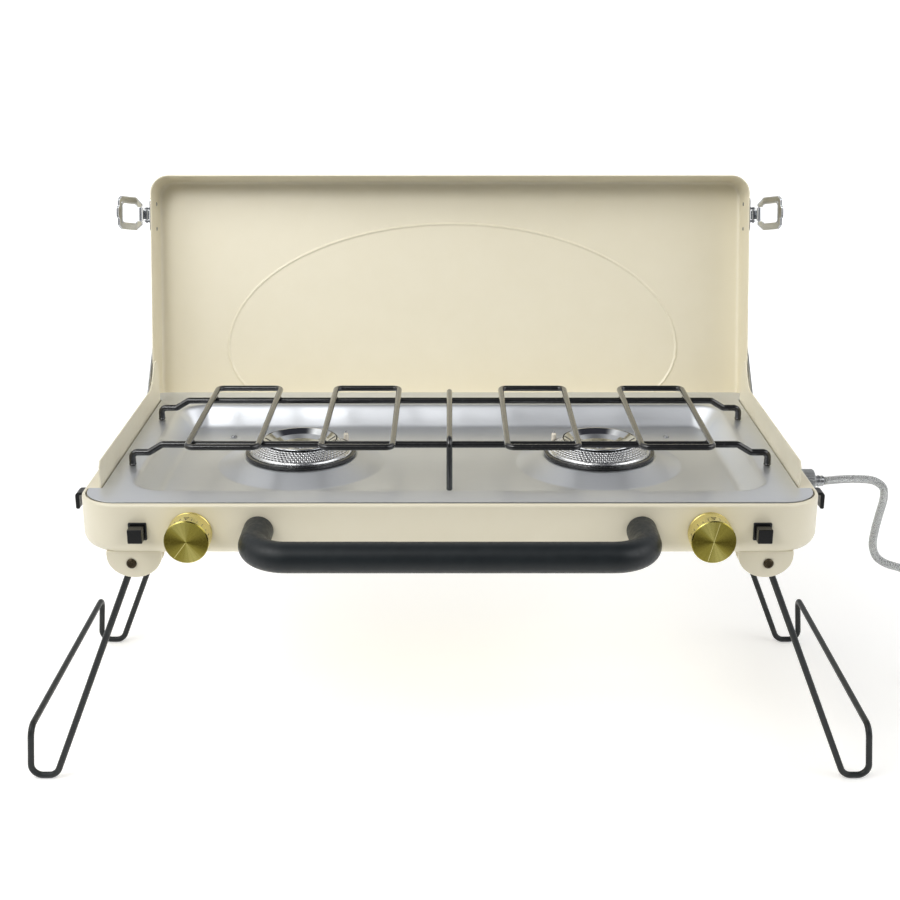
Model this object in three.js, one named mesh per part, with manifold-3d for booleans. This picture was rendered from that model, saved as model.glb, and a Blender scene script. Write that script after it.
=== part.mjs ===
// A two-burner folding gas stove, standing on its legs with the lid open.
// Millimetres. The stove's own datum is the front edge of the cooking plate: x to the right, y to the back, z up.
import * as THREE from "three";
import { mergeVertices } from "three/addons/utils/BufferGeometryUtils.js";
import Module from "manifold-3d";

const wasm = await Module();
wasm.setup();

// Where the datum sits in the finished frame: feet on z = 0, and the object centred on x and y.
const FLOOR_TO_PLATE = 254;
const DATUM_Y = -182.35;

// Base tray
const HALF_W = 298.5;
const DEPTH = 331;
const BASE_H = 44;
const WALL = 1.2;
const CORNER_R = 36;
const LIP = 5.5;
const UPSTAND_X = 284.6;
const UPSTAND_Y0 = 41;
const UPSTAND_Y1 = 291;
const UPSTAND_H = 21.5;

// Cooking plate
const PLATE_T = 1;
const RECESS_D = 20;
const BURNER_X = 133.5;
const BURNER_Y = 163;
const CONE_R = 74;
const CONE_TOP_R = 51;
const CONE_TOP_Z = -11.5;
const CONE_HOLE_R = 46;
const ELECTRODE_R = 53.5;

// Controls on the front
const KNOB_X = 206;
const KNOB_Z = -23.4;
const IGNITER_X = 248;
const IGNITER_Z = -22.5;
const HANDLE_X = 152;
const HANDLE_Z = -21.5;
const HANDLE_Y = -58;
const HANDLE_R = 12;

// Grate
const RAIL_Y = [96, 230];
const RAIL_R = 2.9;
const LOOP_R = 2.6;
const LOOP_Z = 24.8;
const LOOP_Y = [70, 252];
const LOOPS = [
  [-219, -160],
  [-107.5, -48],
  [48, 107.5],
  [160, 219],
];

// Legs: each is one wire that turns on two pins under the base
const LEG_R = 2.75;
const LEG_PIVOT_X = 256;
const LEG_PIVOT_Z = -52.5;
const LEG_Y = [16, 284];

// Lid: modelled shut, then turned open about its pivots
const LID_HALF_W = 300.2;
const LID_T = 1.2;
const LID_Y0 = 37.2;
const LID_Y1 = 333.4;
const LID_RIM_Z = 0.5;
const LID_H = 46;
const LID_PIVOT_Y = 295;
const LID_PIVOT_Z = -34.7;
const LID_OPEN_DEG = 104;

// Latches on the lid, keepers on the base
const LATCH_Y = 76;
const LATCH_A = [305.5, 10];
const LATCH_DEG = -56;
const LEVER_LEN = 8;
const LOOP_LEN = 30;

// Gas inlet and hose
const INLET_Y = 104;
const INLET_Z = -16.5;
const HOSE_R = 3.5;
const COIL_X = 499;
const COIL_Y = 70;
const COIL_IN_R = 29;
const COIL_OUT_R = 55.6;
const COIL_TURNS = 2.6;
const COIL_END_R = 51.7;

const SIDES = [
  ["left", -1],
  ["right", 1],
];

// Colours and finishes
const material = (color, roughness, metalness) =>
  new THREE.MeshStandardMaterial({ color, roughness, metalness });
const CREAM = () => material(0xd9cfae, 0.42, 0.1);
const PLATE = () => material(0xb9bcc0, 0.38, 0.85);
const BLACK = () => material(0x1c1e20, 0.5, 0.2);
const DARK = () => material(0x2b2d2f, 0.6, 0.3);
const BRASS = () => material(0xb9962f, 0.3, 0.95);
const CHROME = () => material(0xd2d4d6, 0.15, 1);
const STEEL = () => material(0x9a9c9e, 0.35, 0.9);
const CERAMIC = () => material(0xe8e2d4, 0.6, 0);

const group = new THREE.Group();
group.name = "camping_stove";
group.position.set(0, DATUM_Y, FLOOR_TO_PLATE);

// Geometry to solid and back

function toSolid(geometry) {
  const g = geometry.clone();
  g.deleteAttribute("normal");
  g.deleteAttribute("uv");
  const merged = mergeVertices(g, 1e-4);
  const mesh = new wasm.Mesh({
    numProp: 3,
    vertProperties: merged.attributes.position.array,
    triVerts: new Uint32Array(merged.index.array),
  });
  return new wasm.Manifold(mesh);
}

function toGeometry(solid) {
  const mesh = solid.getMesh();
  const geometry = new THREE.BufferGeometry();
  geometry.setAttribute("position", new THREE.BufferAttribute(mesh.vertProperties, 3));
  geometry.setIndex(new THREE.BufferAttribute(mesh.triVerts, 1));
  return geometry;
}

const join = (...parts) => parts.map(toSolid).reduce((a, b) => a.add(b));

function cut(geometry, ...tools) {
  return toGeometry(tools.map(toSolid).reduce((a, b) => a.subtract(b), toSolid(geometry)));
}

const fuse = (...parts) => toGeometry(join(...parts));

function add(name, geometry, mat, parent = group) {
  const mesh = new THREE.Mesh(geometry, mat);
  mesh.name = name;
  parent.add(mesh);
  return mesh;
}

// Basic shapes, all placed in the stove's datum

function box(x0, x1, y0, y1, z0, z1) {
  const g = new THREE.BoxGeometry(Math.abs(x1 - x0), Math.abs(y1 - y0), Math.abs(z1 - z0));
  return g.translate((x0 + x1) / 2, (y0 + y1) / 2, (z0 + z1) / 2);
}

// A cylinder along "x", "y" or "z" from a to b on that axis; c is its centre on the other two.
function rod(axis, r, a, b, c, sides = 20) {
  const g = new THREE.CylinderGeometry(r, r, Math.abs(b - a), sides);
  const mid = (a + b) / 2;
  if (axis === "x") return g.rotateZ(Math.PI / 2).translate(mid, c[0], c[1]);
  if (axis === "y") return g.translate(c[0], mid, c[1]);
  return g.rotateX(Math.PI / 2).translate(c[0], c[1], mid);
}

// A profile of [radius, height] pairs turned about z.
function turned(profile, sides, x = 0, y = 0) {
  const points = profile.map(([r, z]) => new THREE.Vector2(r, z));
  return new THREE.LatheGeometry(points, sides).rotateX(Math.PI / 2).translate(x, y, 0);
}

// A rounded rectangle as a list of [x, y], counter-clockwise; radii are for the front and the back corners.
function roundedRect(x0, x1, y0, y1, rFront, rBack = rFront, steps = 6) {
  const corners = [
    [x1 - rFront, y0 + rFront, rFront, -90],
    [x1 - rBack, y1 - rBack, rBack, 0],
    [x0 + rBack, y1 - rBack, rBack, 90],
    [x0 + rFront, y0 + rFront, rFront, 180],
  ];
  return corners.flatMap(([cx, cy, r, from]) => {
    const arc = [];
    for (let i = 0; i <= steps; i++) {
      const a = ((from + (90 * i) / steps) * Math.PI) / 180;
      arc.push([cx + r * Math.cos(a), cy + r * Math.sin(a)]);
    }
    return arc;
  });
}

// A closed solid through layers of outlines with equal counts, from the lowest up; each layer is [outline, z].
function loft(layers) {
  const n = layers[0][0].length;
  const positions = layers.flatMap(([outline, z]) => outline.flatMap(([x, y]) => [x, y, z]));
  const index = [];
  for (let k = 0; k + 1 < layers.length; k++) {
    for (let i = 0; i < n; i++) {
      const j = (i + 1) % n;
      const a = k * n + i;
      const b = k * n + j;
      index.push(a, b, b + n, a, b + n, a + n);
    }
  }
  const cap = (outline, offset, up) => {
    const contour = outline.map(([x, y]) => new THREE.Vector2(x, y));
    for (const [a, b, c] of THREE.ShapeUtils.triangulateShape(contour, [])) {
      if (up) index.push(offset + a, offset + b, offset + c);
      else index.push(offset + a, offset + c, offset + b);
    }
  };
  cap(layers[0][0], 0, false);
  cap(layers[layers.length - 1][0], (layers.length - 1) * n, true);
  const g = new THREE.BufferGeometry();
  g.setAttribute("position", new THREE.Float32BufferAttribute(positions, 3));
  g.setIndex(index);
  return g;
}

const prism = (outline, z0, z1) => loft([
  [outline, z0],
  [outline, z1],
]);

// A [y, z] outline pushed along x from x0 to x1.
function sidePlate(outline, x0, x1) {
  const lo = Math.min(x0, x1);
  const shape = new THREE.Shape(outline.map(([y, z]) => new THREE.Vector2(y, z)));
  const g = new THREE.ExtrudeGeometry(shape, { depth: Math.abs(x1 - x0), bevelEnabled: false });
  const turn = new THREE.Matrix4().set(0, 0, 1, lo, 1, 0, 0, 0, 0, 1, 0, 0, 0, 0, 0, 1);
  return g.applyMatrix4(turn);
}

// An [x, z] outline pushed along y from y0 to y1.
function frontPlate(outline, y0, y1) {
  const shape = new THREE.Shape(outline.map(([x, z]) => new THREE.Vector2(x, z)));
  const g = new THREE.ExtrudeGeometry(shape, { depth: y1 - y0, bevelEnabled: false });
  return g.rotateX(Math.PI / 2).translate(0, y1, 0);
}

// The points of a polyline with each inner corner replaced by an arc.
function bent(points, radius, steps = 4, closed = false) {
  const p = points.map((q) => new THREE.Vector3(...q));
  const out = [];
  p.forEach((here, i) => {
    if (!closed && (i === 0 || i === p.length - 1)) {
      out.push(here);
      return;
    }
    const back = p[(i + p.length - 1) % p.length].clone().sub(here).normalize();
    const on = p[(i + 1) % p.length].clone().sub(here).normalize();
    const half = back.angleTo(on) / 2;
    const reach = radius / Math.tan(half);
    const centre = back.clone().add(on).normalize().multiplyScalar(radius / Math.sin(half)).add(here);
    const a = back.clone().multiplyScalar(reach).add(here).sub(centre);
    const b = on.clone().multiplyScalar(reach).add(here).sub(centre);
    const whole = a.angleTo(b);
    for (let k = 0; k <= steps; k++) {
      const t = k / steps;
      const wa = Math.sin((1 - t) * whole) / Math.sin(whole);
      const wb = Math.sin(t * whole) / Math.sin(whole);
      out.push(a.clone().multiplyScalar(wa).addScaledVector(b, wb).add(centre));
    }
  });
  return out;
}

// A round wire along points, its rings carried on without twist; a closed wire joins its own end.
function wire(points, radius, sides = 8, closed = false) {
  const n = points.length;
  const positions = [];
  const index = [];
  let normal = null;
  for (let i = 0; i < n; i++) {
    const before = points[closed ? (i + n - 1) % n : Math.max(i - 1, 0)];
    const after = points[closed ? (i + 1) % n : Math.min(i + 1, n - 1)];
    const along = after.clone().sub(before).normalize();
    if (!normal) {
      const up = Math.abs(along.z) < 0.9 ? new THREE.Vector3(0, 0, 1) : new THREE.Vector3(1, 0, 0);
      normal = up.clone().addScaledVector(along, -up.dot(along)).normalize();
    } else {
      normal = normal.clone().addScaledVector(along, -normal.dot(along)).normalize();
    }
    const across = along.clone().cross(normal);
    for (let k = 0; k < sides; k++) {
      const a = (2 * Math.PI * k) / sides;
      const p = points[i]
        .clone()
        .addScaledVector(normal, radius * Math.cos(a))
        .addScaledVector(across, radius * Math.sin(a));
      positions.push(p.x, p.y, p.z);
    }
  }
  const rings = closed ? n : n - 1;
  for (let i = 0; i < rings; i++) {
    for (let k = 0; k < sides; k++) {
      const a = i * sides + k;
      const b = i * sides + ((k + 1) % sides);
      const c = ((i + 1) % n) * sides + ((k + 1) % sides);
      const d = ((i + 1) % n) * sides + k;
      index.push(a, b, c, a, c, d);
    }
  }
  if (!closed) {
    for (let k = 1; k + 1 < sides; k++) {
      index.push(0, k + 1, k);
      const last = (n - 1) * sides;
      index.push(last, last + k, last + k + 1);
    }
  }
  const g = new THREE.BufferGeometry();
  g.setAttribute("position", new THREE.Float32BufferAttribute(positions, 3));
  g.setIndex(index);
  return g;
}

const vectors = (points) => points.map((p) => new THREE.Vector3(...p));

// Base tray

// The outline of the plate: wide at the front and the back, and narrower between the upstands.
function plateOutline(grow) {
  const wide = 294 + grow;
  const narrow = UPSTAND_X - 1 + grow;
  const y0 = LIP - grow;
  const y1 = DEPTH - LIP + grow;
  const step0 = UPSTAND_Y0 - 2 + grow;
  const step1 = UPSTAND_Y1 + 9 - grow;
  const r = 29 + 1.6 * Math.min(grow, 0);
  const half = [];
  for (let i = 0; i <= 6; i++) {
    const a = ((-90 + 15 * i) * Math.PI) / 180;
    half.push([wide - r + r * Math.cos(a), y0 + r + r * Math.sin(a)]);
  }
  half.push([wide, step0], [narrow, step0], [narrow, step1], [wide, step1]);
  half.push([wide, y1 - 12], [wide - 3.5, y1 - 3.5], [wide - 12, y1]);
  return [...half, ...half.map(([x, y]) => [-x, y]).reverse()];
}

const outline = (inset) =>
  roundedRect(-HALF_W + inset, HALF_W - inset, inset, DEPTH - inset, CORNER_R - inset, 20 - inset / 2);

const FILLET = 12;
const baseOuter = loft([
  [outline(FILLET), -BASE_H],
  [outline(FILLET * 0.617), -BASE_H + FILLET * 0.076],
  [outline(FILLET * 0.293), -BASE_H + FILLET * 0.293],
  [outline(FILLET * 0.076), -BASE_H + FILLET * 0.617],
  [outline(0), -BASE_H + FILLET],
  [outline(0), -2.4],
  [outline(0.7), -0.7],
  [outline(2.4), 0],
]);
const baseInner = loft([
  [outline(FILLET), -BASE_H + WALL],
  [outline(WALL + 3), -BASE_H + WALL + 3],
  [outline(WALL), -BASE_H + FILLET],
  [outline(WALL), -2.6],
]);

// One upstand with the ear that rises behind it, as [y, z].
const EAR = [
  [UPSTAND_Y0, -1.5],
  [UPSTAND_Y1 + 8, -1.5],
  [UPSTAND_Y1 + 8, 33],
  [296.5, 38],
  [291, 42],
  [284, 42],
  [278, 38],
  [272.5, 31],
  [266.5, 25.5],
  [258, UPSTAND_H],
  [UPSTAND_Y0 + 4, UPSTAND_H],
  [UPSTAND_Y0, UPSTAND_H - 4],
];

const baseHoles = [];
for (const [, s] of SIDES) {
  baseHoles.push(rod("y", 6, -1, 3, [s * KNOB_X, KNOB_Z]));
  baseHoles.push(box(s * IGNITER_X - 6.85, s * IGNITER_X + 6.85, -1, 3, IGNITER_Z - 6.85, IGNITER_Z + 6.85));
  baseHoles.push(rod("x", 2.6, s * 290, s * 300, [LID_PIVOT_Y, LID_PIVOT_Z], 16));
}
baseHoles.push(rod("x", 5.6, 295, 300, [INLET_Y, INLET_Z]));

let tray = toSolid(baseOuter)
  .subtract(toSolid(baseInner))
  .subtract(toSolid(prism(plateOutline(0.4), -1.4, 5)))
  .subtract(toSolid(prism(plateOutline(-6), -4, 5)));
for (const [, s] of SIDES) tray = tray.add(toSolid(sidePlate(EAR, s * UPSTAND_X, s * (UPSTAND_X + WALL))));
for (const hole of baseHoles) tray = tray.subtract(toSolid(hole));
add("base_tray", toGeometry(tray), CREAM());

// Cooking plate: a flat ledge, a sunk middle and a raised cone round each burner

const recess = (inset) =>
  roundedRect(-260 + inset, 260 - inset, 34 + inset, 282 - inset, 30 - inset / 2, 26 - inset / 2);
const SLOPE = 14;
const coneProfile = [
  [CONE_R, -RECESS_D - PLATE_T],
  [CONE_R, -RECESS_D],
  [CONE_TOP_R, CONE_TOP_Z],
  [CONE_HOLE_R, CONE_TOP_Z],
  [CONE_HOLE_R, CONE_TOP_Z - PLATE_T],
  [CONE_TOP_R - 0.4, CONE_TOP_Z - PLATE_T],
  [CONE_R - 1.6, -RECESS_D - PLATE_T],
  [CONE_R, -RECESS_D - PLATE_T],
];
let plate = toSolid(prism(plateOutline(0), -PLATE_T, 0))
  .add(
    toSolid(
      loft([
        [recess(SLOPE + 0.6), -RECESS_D - PLATE_T],
        [recess(-1), -0.2],
      ]),
    ),
  )
  .subtract(
    toSolid(
      loft([
        [recess(SLOPE), -RECESS_D],
        [recess(0), 0],
        [recess(0), 1],
      ]),
    ),
  );
for (const [, s] of SIDES) {
  const hole = rod("z", CONE_R - 0.8, -RECESS_D - 3, -RECESS_D + 0.2, [s * BURNER_X, BURNER_Y], 40);
  plate = plate.subtract(toSolid(hole)).add(toSolid(turned(coneProfile, 40, s * BURNER_X, BURNER_Y)));
}
add("top_plate", toGeometry(plate), PLATE());

// Grate: two rails on four feet, four loops on them for the pans, and a centre wire with its own foot

const railHalf = [
  [244, 19],
  [255.5, 12],
  [270, 12],
  [270, 0.3],
];
RAIL_Y.forEach((y, i) => {
  const line = [
    ...railHalf.map(([x, z]) => [-x, y, z]).reverse(),
    ...railHalf.map(([x, z]) => [x, y, z]),
  ];
  add(["grate_rail_front", "grate_rail_back"][i], wire(bent(line, 4.2, 4), RAIL_R), BLACK());
});
LOOPS.forEach(([x0, x1], i) => {
  const corners = [
    [x0, LOOP_Y[0], LOOP_Z],
    [x1, LOOP_Y[0], LOOP_Z],
    [x1, LOOP_Y[1], LOOP_Z],
    [x0, LOOP_Y[1], LOOP_Z],
  ];
  add("grate_loop_" + (i + 1), wire(bent(corners, 5, 4, true), LOOP_R, 8, true), BLACK());
});
const centreLine = [
  [-0.5, 241, LOOP_Z],
  [-0.5, 89, LOOP_Z],
  [-0.5, 89, -RECESS_D + 0.3],
];
add("grate_centre", wire(bent(centreLine, 6, 4), LOOP_R), BLACK());

// Burners, gas valves, knobs and igniters

for (const [side, s] of SIDES) {
  const x = s * BURNER_X;
  const ring = [
    [43.8, -11.2],
    [48.6, -11.2],
    [49.6, -10.2],
    [49.6, -8.7],
    [48.6, -7.7],
    [43.8, -7.7],
    [43.8, -11.2],
  ];
  add("burner_ring_" + side, turned(ring, 40, x, BURNER_Y), BLACK());
  const band = [
    [45.2, -7.4],
    [46.2, -7.4],
    [33, 1.5],
    [31.8, 1.5],
    [45.2, -7.4],
  ];
  add("burner_band_" + side, turned(band, 40, x, BURNER_Y), STEEL());
  const cap = [
    [0, -6],
    [12, -5.4],
    [20, -4],
    [27.5, -0.2],
    [31, 1.8],
    [33.2, 1.8],
    [33.8, 2.5],
    [32.6, 3.4],
    [31, 3.2],
    [26, -0.6],
    [20, -3],
    [12, -4.4],
    [0, -5],
  ];
  add("burner_cap_" + side, turned(cap, 40, x, BURNER_Y), CHROME());
  const cup = [
    [0, -41.6],
    [30, -41.6],
    [43, -30],
    [43, -8.2],
    [41.4, -8.2],
    [41.4, -29.4],
    [29.4, -40],
    [0, -40],
  ];
  add("burner_cup_" + side, turned(cup, 32, x, BURNER_Y), DARK());
  const tip = [x - s * ELECTRODE_R * Math.SQRT1_2, BURNER_Y + ELECTRODE_R * Math.SQRT1_2];
  add("electrode_" + side, rod("z", 2.3, -11.3, -1.5, tip, 12), CERAMIC());

  const tube = [
    [8, 0],
    [9, 0],
    [6.6, 14],
    [6.6, 85],
    [5.6, 85],
    [5.6, 14],
    [8, 0],
  ];
  const from = new THREE.Vector3(s * 198, 50, -31.9);
  const to = new THREE.Vector3(x, BURNER_Y, -31.9);
  const aim = new THREE.Quaternion().setFromUnitVectors(
    new THREE.Vector3(0, 0, 1),
    to.clone().sub(from).normalize(),
  );
  const mixing = turned(tube, 16).applyQuaternion(aim).translate(from.x, from.y, from.z);
  add("mixing_tube_" + side, mixing, STEEL());

  const kx = s * KNOB_X;
  const valve = fuse(rod("y", 8, 1.6, 31, [kx, KNOB_Z], 16), rod("y", 3, 30, 44, [kx, KNOB_Z - 4.5], 12));
  add("valve_body_" + side, cut(valve, rod("y", 3.5, 0, 14, [kx, KNOB_Z], 16)), BRASS());
  add("valve_stem_" + side, rod("y", 3, -13.5, 13, [kx, KNOB_Z], 16), STEEL());
  const knob = [
    [0, 0],
    [16.6, 0],
    [17.7, 1.1],
    [17.7, 20.8],
    [17.2, 21.8],
    [0, 21.8],
  ];
  const knobBody = turned(knob, 40).rotateX(-Math.PI / 2).translate(kx, -22.6, KNOB_Z);
  add("knob_" + side, cut(knobBody, rod("y", 3.3, -14, 1, [kx, KNOB_Z], 16)), BRASS());

  const ix = s * IGNITER_X;
  const bezel = fuse(
    box(ix - 7.3, ix + 7.3, -1.7, -0.3, IGNITER_Z - 7.3, IGNITER_Z + 7.3),
    box(ix - 6.6, ix + 6.6, -0.4, 30, IGNITER_Z - 6.6, IGNITER_Z + 6.6),
  );
  const well = box(ix - 6.1, ix + 6.1, -3, 12, IGNITER_Z - 6.1, IGNITER_Z + 6.1);
  add("igniter_body_" + side, cut(bezel, well), DARK());
  const button = box(ix - 5.8, ix + 5.8, -13.5, 5, IGNITER_Z - 5.8, IGNITER_Z + 5.8);
  add("igniter_button_" + side, button, BLACK());
}

const pipeLine = [
  [293.5, INLET_Y, INLET_Z],
  [276, INLET_Y, INLET_Z],
  [276, INLET_Y, -36.8],
  [276, 26, -36.8],
  [-216, 26, -36.8],
];
add("manifold_pipe", wire(bent(pipeLine, 9, 4), 4.5, 10), STEEL());

// Carrying handle

const handleLine = [
  [-HANDLE_X, -0.4, HANDLE_Z],
  [-HANDLE_X, HANDLE_Y, HANDLE_Z],
  [HANDLE_X, HANDLE_Y, HANDLE_Z],
  [HANDLE_X, -0.4, HANDLE_Z],
];
add("handle", wire(bent(handleLine, 36, 8), HANDLE_R, 20), BLACK());

// Leg brackets, pins and legs

for (const [side, s] of SIDES) {
  const cx = s * 254;
  const lobe = [[cx - 22, -45.5]];
  for (let i = 0; i <= 12; i++) {
    const a = Math.PI + (Math.PI * i) / 12;
    lobe.push([cx + 22 * Math.cos(a), -46.5 + 18.3 * Math.sin(a)]);
  }
  lobe.push([cx + 22, -45.5]);
  const cheek = (y0, y1) => frontPlate(lobe, y0, y1);
  const bracket = fuse(
    box(cx - 22, cx + 22, 5.5, 297, -45.8, -44.3),
    cheek(5.5, 12),
    cheek(20.6, 22.4),
    cheek(277.6, 279.4),
    cheek(288, 294.5),
  );
  const px = s * LEG_PIVOT_X;
  const bores = rod("y", 3.5, 0, 300, [px, LEG_PIVOT_Z], 16);
  add("leg_bracket_" + side, cut(bracket, bores), CREAM());
  const pin = (y0, y1, head0, head1) =>
    fuse(rod("y", 3.1, y0, y1, [px, LEG_PIVOT_Z], 16), rod("y", 4.1, head0, head1, [px, LEG_PIVOT_Z], 16));
  add("leg_pin_front_" + side, pin(4, 25, 3.4, 5), DARK());
  add("leg_pin_rear_" + side, pin(275, 296, 295.2, 296.8), DARK());

  const half = [
    [LEG_PIVOT_X, LEG_PIVOT_Z],
    [335.2, -251.25],
    [357.2, -251.25],
    [353.5, -206],
  ];
  const line = [
    ...half.map(([x, z]) => [s * x, LEG_Y[0], z]),
    ...half.map(([x, z]) => [s * x, LEG_Y[1], z]).reverse(),
  ];
  const eye = (y) => rod("y", 6, y - 2.75, y + 2.75, [px, LEG_PIVOT_Z], 16);
  const leg = fuse(wire(bent(line, 9.5, 4), LEG_R), eye(LEG_Y[0]), eye(LEG_Y[1]));
  const eyes = LEG_Y.map((y) => rod("y", 3.4, y - 5, y + 5, [px, LEG_PIVOT_Z], 16));
  add("leg_" + side, cut(leg, ...eyes), DARK());
}

// Lid with its arms and latches, modelled shut inside a group that turns about the pivots

const lidGroup = new THREE.Group();
lidGroup.position.set(0, LID_PIVOT_Y, LID_PIVOT_Z);
lidGroup.rotation.x = (-LID_OPEN_DEG * Math.PI) / 180;
group.add(lidGroup);
const shut = new THREE.Group();
shut.position.set(0, -LID_PIVOT_Y, -LID_PIVOT_Z);
lidGroup.add(shut);

const lidOutline = (inset) =>
  roundedRect(
    -LID_HALF_W + inset,
    LID_HALF_W - inset,
    LID_Y0 + inset,
    LID_Y1 - inset,
    18 - inset / 2,
    12 - inset / 2,
    5,
  );
const lidTop = LID_RIM_Z + LID_H;
const lidOuter = loft([
  [lidOutline(0), LID_RIM_Z],
  [lidOutline(0), lidTop - 6],
  [lidOutline(0.8), lidTop - 3],
  [lidOutline(3), lidTop - 0.8],
  [lidOutline(6), lidTop],
]);
const lidInner = loft([
  [lidOutline(LID_T), LID_RIM_Z - 1],
  [lidOutline(LID_T), lidTop - 6],
  [lidOutline(LID_T + 2), lidTop - LID_T - 1.5],
  [lidOutline(LID_T + 5), lidTop - LID_T],
]);
add("lid", cut(lidOuter, lidInner), CREAM(), shut);

// The latch parts lie along a slanting line from the knuckle; t runs along it and y across it.
const slant = (LATCH_DEG * Math.PI) / 180;
function alongLatch(geometry, s, start) {
  const t = [Math.cos(slant), Math.sin(slant)];
  const x = LATCH_A[0] + start * t[0];
  const z = LATCH_A[1] + start * t[1];
  const place = new THREE.Matrix4().set(t[0], 0, -t[1], x, 0, 1, 0, LATCH_Y, t[1], 0, t[0], z, 0, 0, 0, 1);
  const g = geometry.clone().applyMatrix4(place);
  if (s > 0) return g;
  return mirrored(g);
}

// The same geometry on the other side, with its faces turned back outwards.
function mirrored(geometry) {
  const g = geometry.index ? geometry.toNonIndexed() : geometry.clone();
  g.scale(-1, 1, 1);
  const p = g.attributes.position.array;
  for (let i = 0; i < p.length; i += 9) {
    for (let k = 0; k < 3; k++) [p[i + 3 + k], p[i + 6 + k]] = [p[i + 6 + k], p[i + 3 + k]];
  }
  return g;
}

for (const [side, s] of SIDES) {
  // The arm is a flat strip from the pivot on the base to the lid's side.
  const ang = Math.atan2(57, 93);
  const len = Math.hypot(93, 57);
  const strip = [];
  for (let i = 0; i <= 8; i++) {
    const a = Math.PI / 2 + (Math.PI * i) / 8;
    strip.push([7 * Math.cos(a), 7 * Math.sin(a)]);
  }
  for (let i = 0; i <= 8; i++) {
    const a = -Math.PI / 2 + (Math.PI * i) / 8;
    strip.push([len + 7 * Math.cos(a), 7 * Math.sin(a)]);
  }
  const turnedStrip = strip.map(([u, w]) => [
    LID_PIVOT_Y - (u * Math.cos(ang) - w * Math.sin(ang)),
    LID_PIVOT_Z + u * Math.sin(ang) + w * Math.cos(ang),
  ]);
  const arm = sidePlate(turnedStrip.reverse(), s * 300.6, s * 302.1);
  const armBore = rod("x", 2.6, s * 300, s * 303, [LID_PIVOT_Y, LID_PIVOT_Z], 16);
  add("lid_arm_" + side, cut(arm, armBore), STEEL(), shut);

  const pivot = fuse(
    rod("x", 2.2, s * 291.2, s * 303.4, [LID_PIVOT_Y, LID_PIVOT_Z], 16),
    rod("x", 5, s * 302.5, s * 304.4, [LID_PIVOT_Y, LID_PIVOT_Z], 20),
    rod("x", 5, s * 298.8, s * 300.2, [LID_PIVOT_Y, LID_PIVOT_Z], 20),
    rod("x", 4.2, s * 290.8, s * 293.9, [LID_PIVOT_Y, LID_PIVOT_Z], 6),
  );
  add("lid_pivot_" + side, pivot, STEEL());

  const [ax, az] = LATCH_A;
  const lug = (y0, y1) => box(s * 301.6, s * (ax + 2.6), y0, y1, az - 2.6, az + 2.6);
  const latchPlate = fuse(
    box(s * 300.5, s * 301.9, LATCH_Y - 17, LATCH_Y + 17, 5, 33),
    lug(LATCH_Y - 7.5, LATCH_Y - 5),
    lug(LATCH_Y + 5, LATCH_Y + 7.5),
    rod("y", 1.1, LATCH_Y - 7, LATCH_Y + 7, [s * ax, az], 12),
  );
  add("latch_plate_" + side, latchPlate, CHROME(), shut);

  const barrels = fuse(
    rod("y", 2.5, -4.6, 4.6, [0, 0], 16),
    rod("y", 2.4, -6.6, 6.6, [LEVER_LEN, 0], 16),
    box(0, LEVER_LEN, -4.6, 4.6, -1.1, 1.1),
  );
  const lever = cut(
    barrels,
    rod("y", 1.4, -9, 9, [0, 0], 12),
    rod("y", 1.4, -9, 9, [LEVER_LEN, 0], 12),
  );
  add("latch_lever_" + side, alongLatch(lever, s, 0), CHROME(), shut);

  const frame = new THREE.Shape(
    [[-1.5, 7], [-1.5, 9.5], [7, 16], [LOOP_LEN - 4, 16], [LOOP_LEN, 12.5], [LOOP_LEN, 6], [LOOP_LEN + 1.6, 5]]
      .concat([[LOOP_LEN + 1.6, -5], [LOOP_LEN, -6], [LOOP_LEN, -12.5], [LOOP_LEN - 4, -16], [7, -16]])
      .concat([[-1.5, -9.5], [-1.5, -7]])
      .map(([t, y]) => new THREE.Vector2(t, y))
      .reverse(),
  );
  const flat = new THREE.ExtrudeGeometry(frame, { depth: 2, bevelEnabled: false }).translate(0, 0, -1);
  const bail = cut(flat, box(-5, 6, -6.9, 6.9, -3, 3), box(4, LOOP_LEN - 4.4, -9.5, 9.5, -3, 3));
  const loop = fuse(bail, rod("y", 1.1, -8, 8, [0, 0], 12));
  add("latch_loop_" + side, alongLatch(loop, s, LEVER_LEN), CHROME(), shut);

  // The keeper is a black hook on the base side that the loop goes round.
  const keeper = fuse(
    box(s * 298.8, s * 300.2, LATCH_Y - 11, LATCH_Y + 11, -33, -11),
    box(s * 299.5, s * 314.4, LATCH_Y - 7, LATCH_Y + 7, -17.2, -14.8),
    box(s * 310.8, s * 314.4, LATCH_Y - 7, LATCH_Y + 7, -29.5, -14.8),
  );
  add("keeper_" + side, keeper, BLACK());
}

// Gas inlet, hose, its coil on the ground and the regulator at its far end

const collar = [
  [0, 0],
  [4.8, 0],
  [4.8, 5],
  [10.4, 5],
  [10.4, 17.5],
  [9, 18.5],
  [5, 18.5],
  [5, 22],
  [4.4, 27],
  [0, 27],
];
const collarBody = turned(collar, 24).rotateY(Math.PI / 2).translate(294, INLET_Y, INLET_Z);
add("inlet_collar", collarBody, STEEL());

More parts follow.
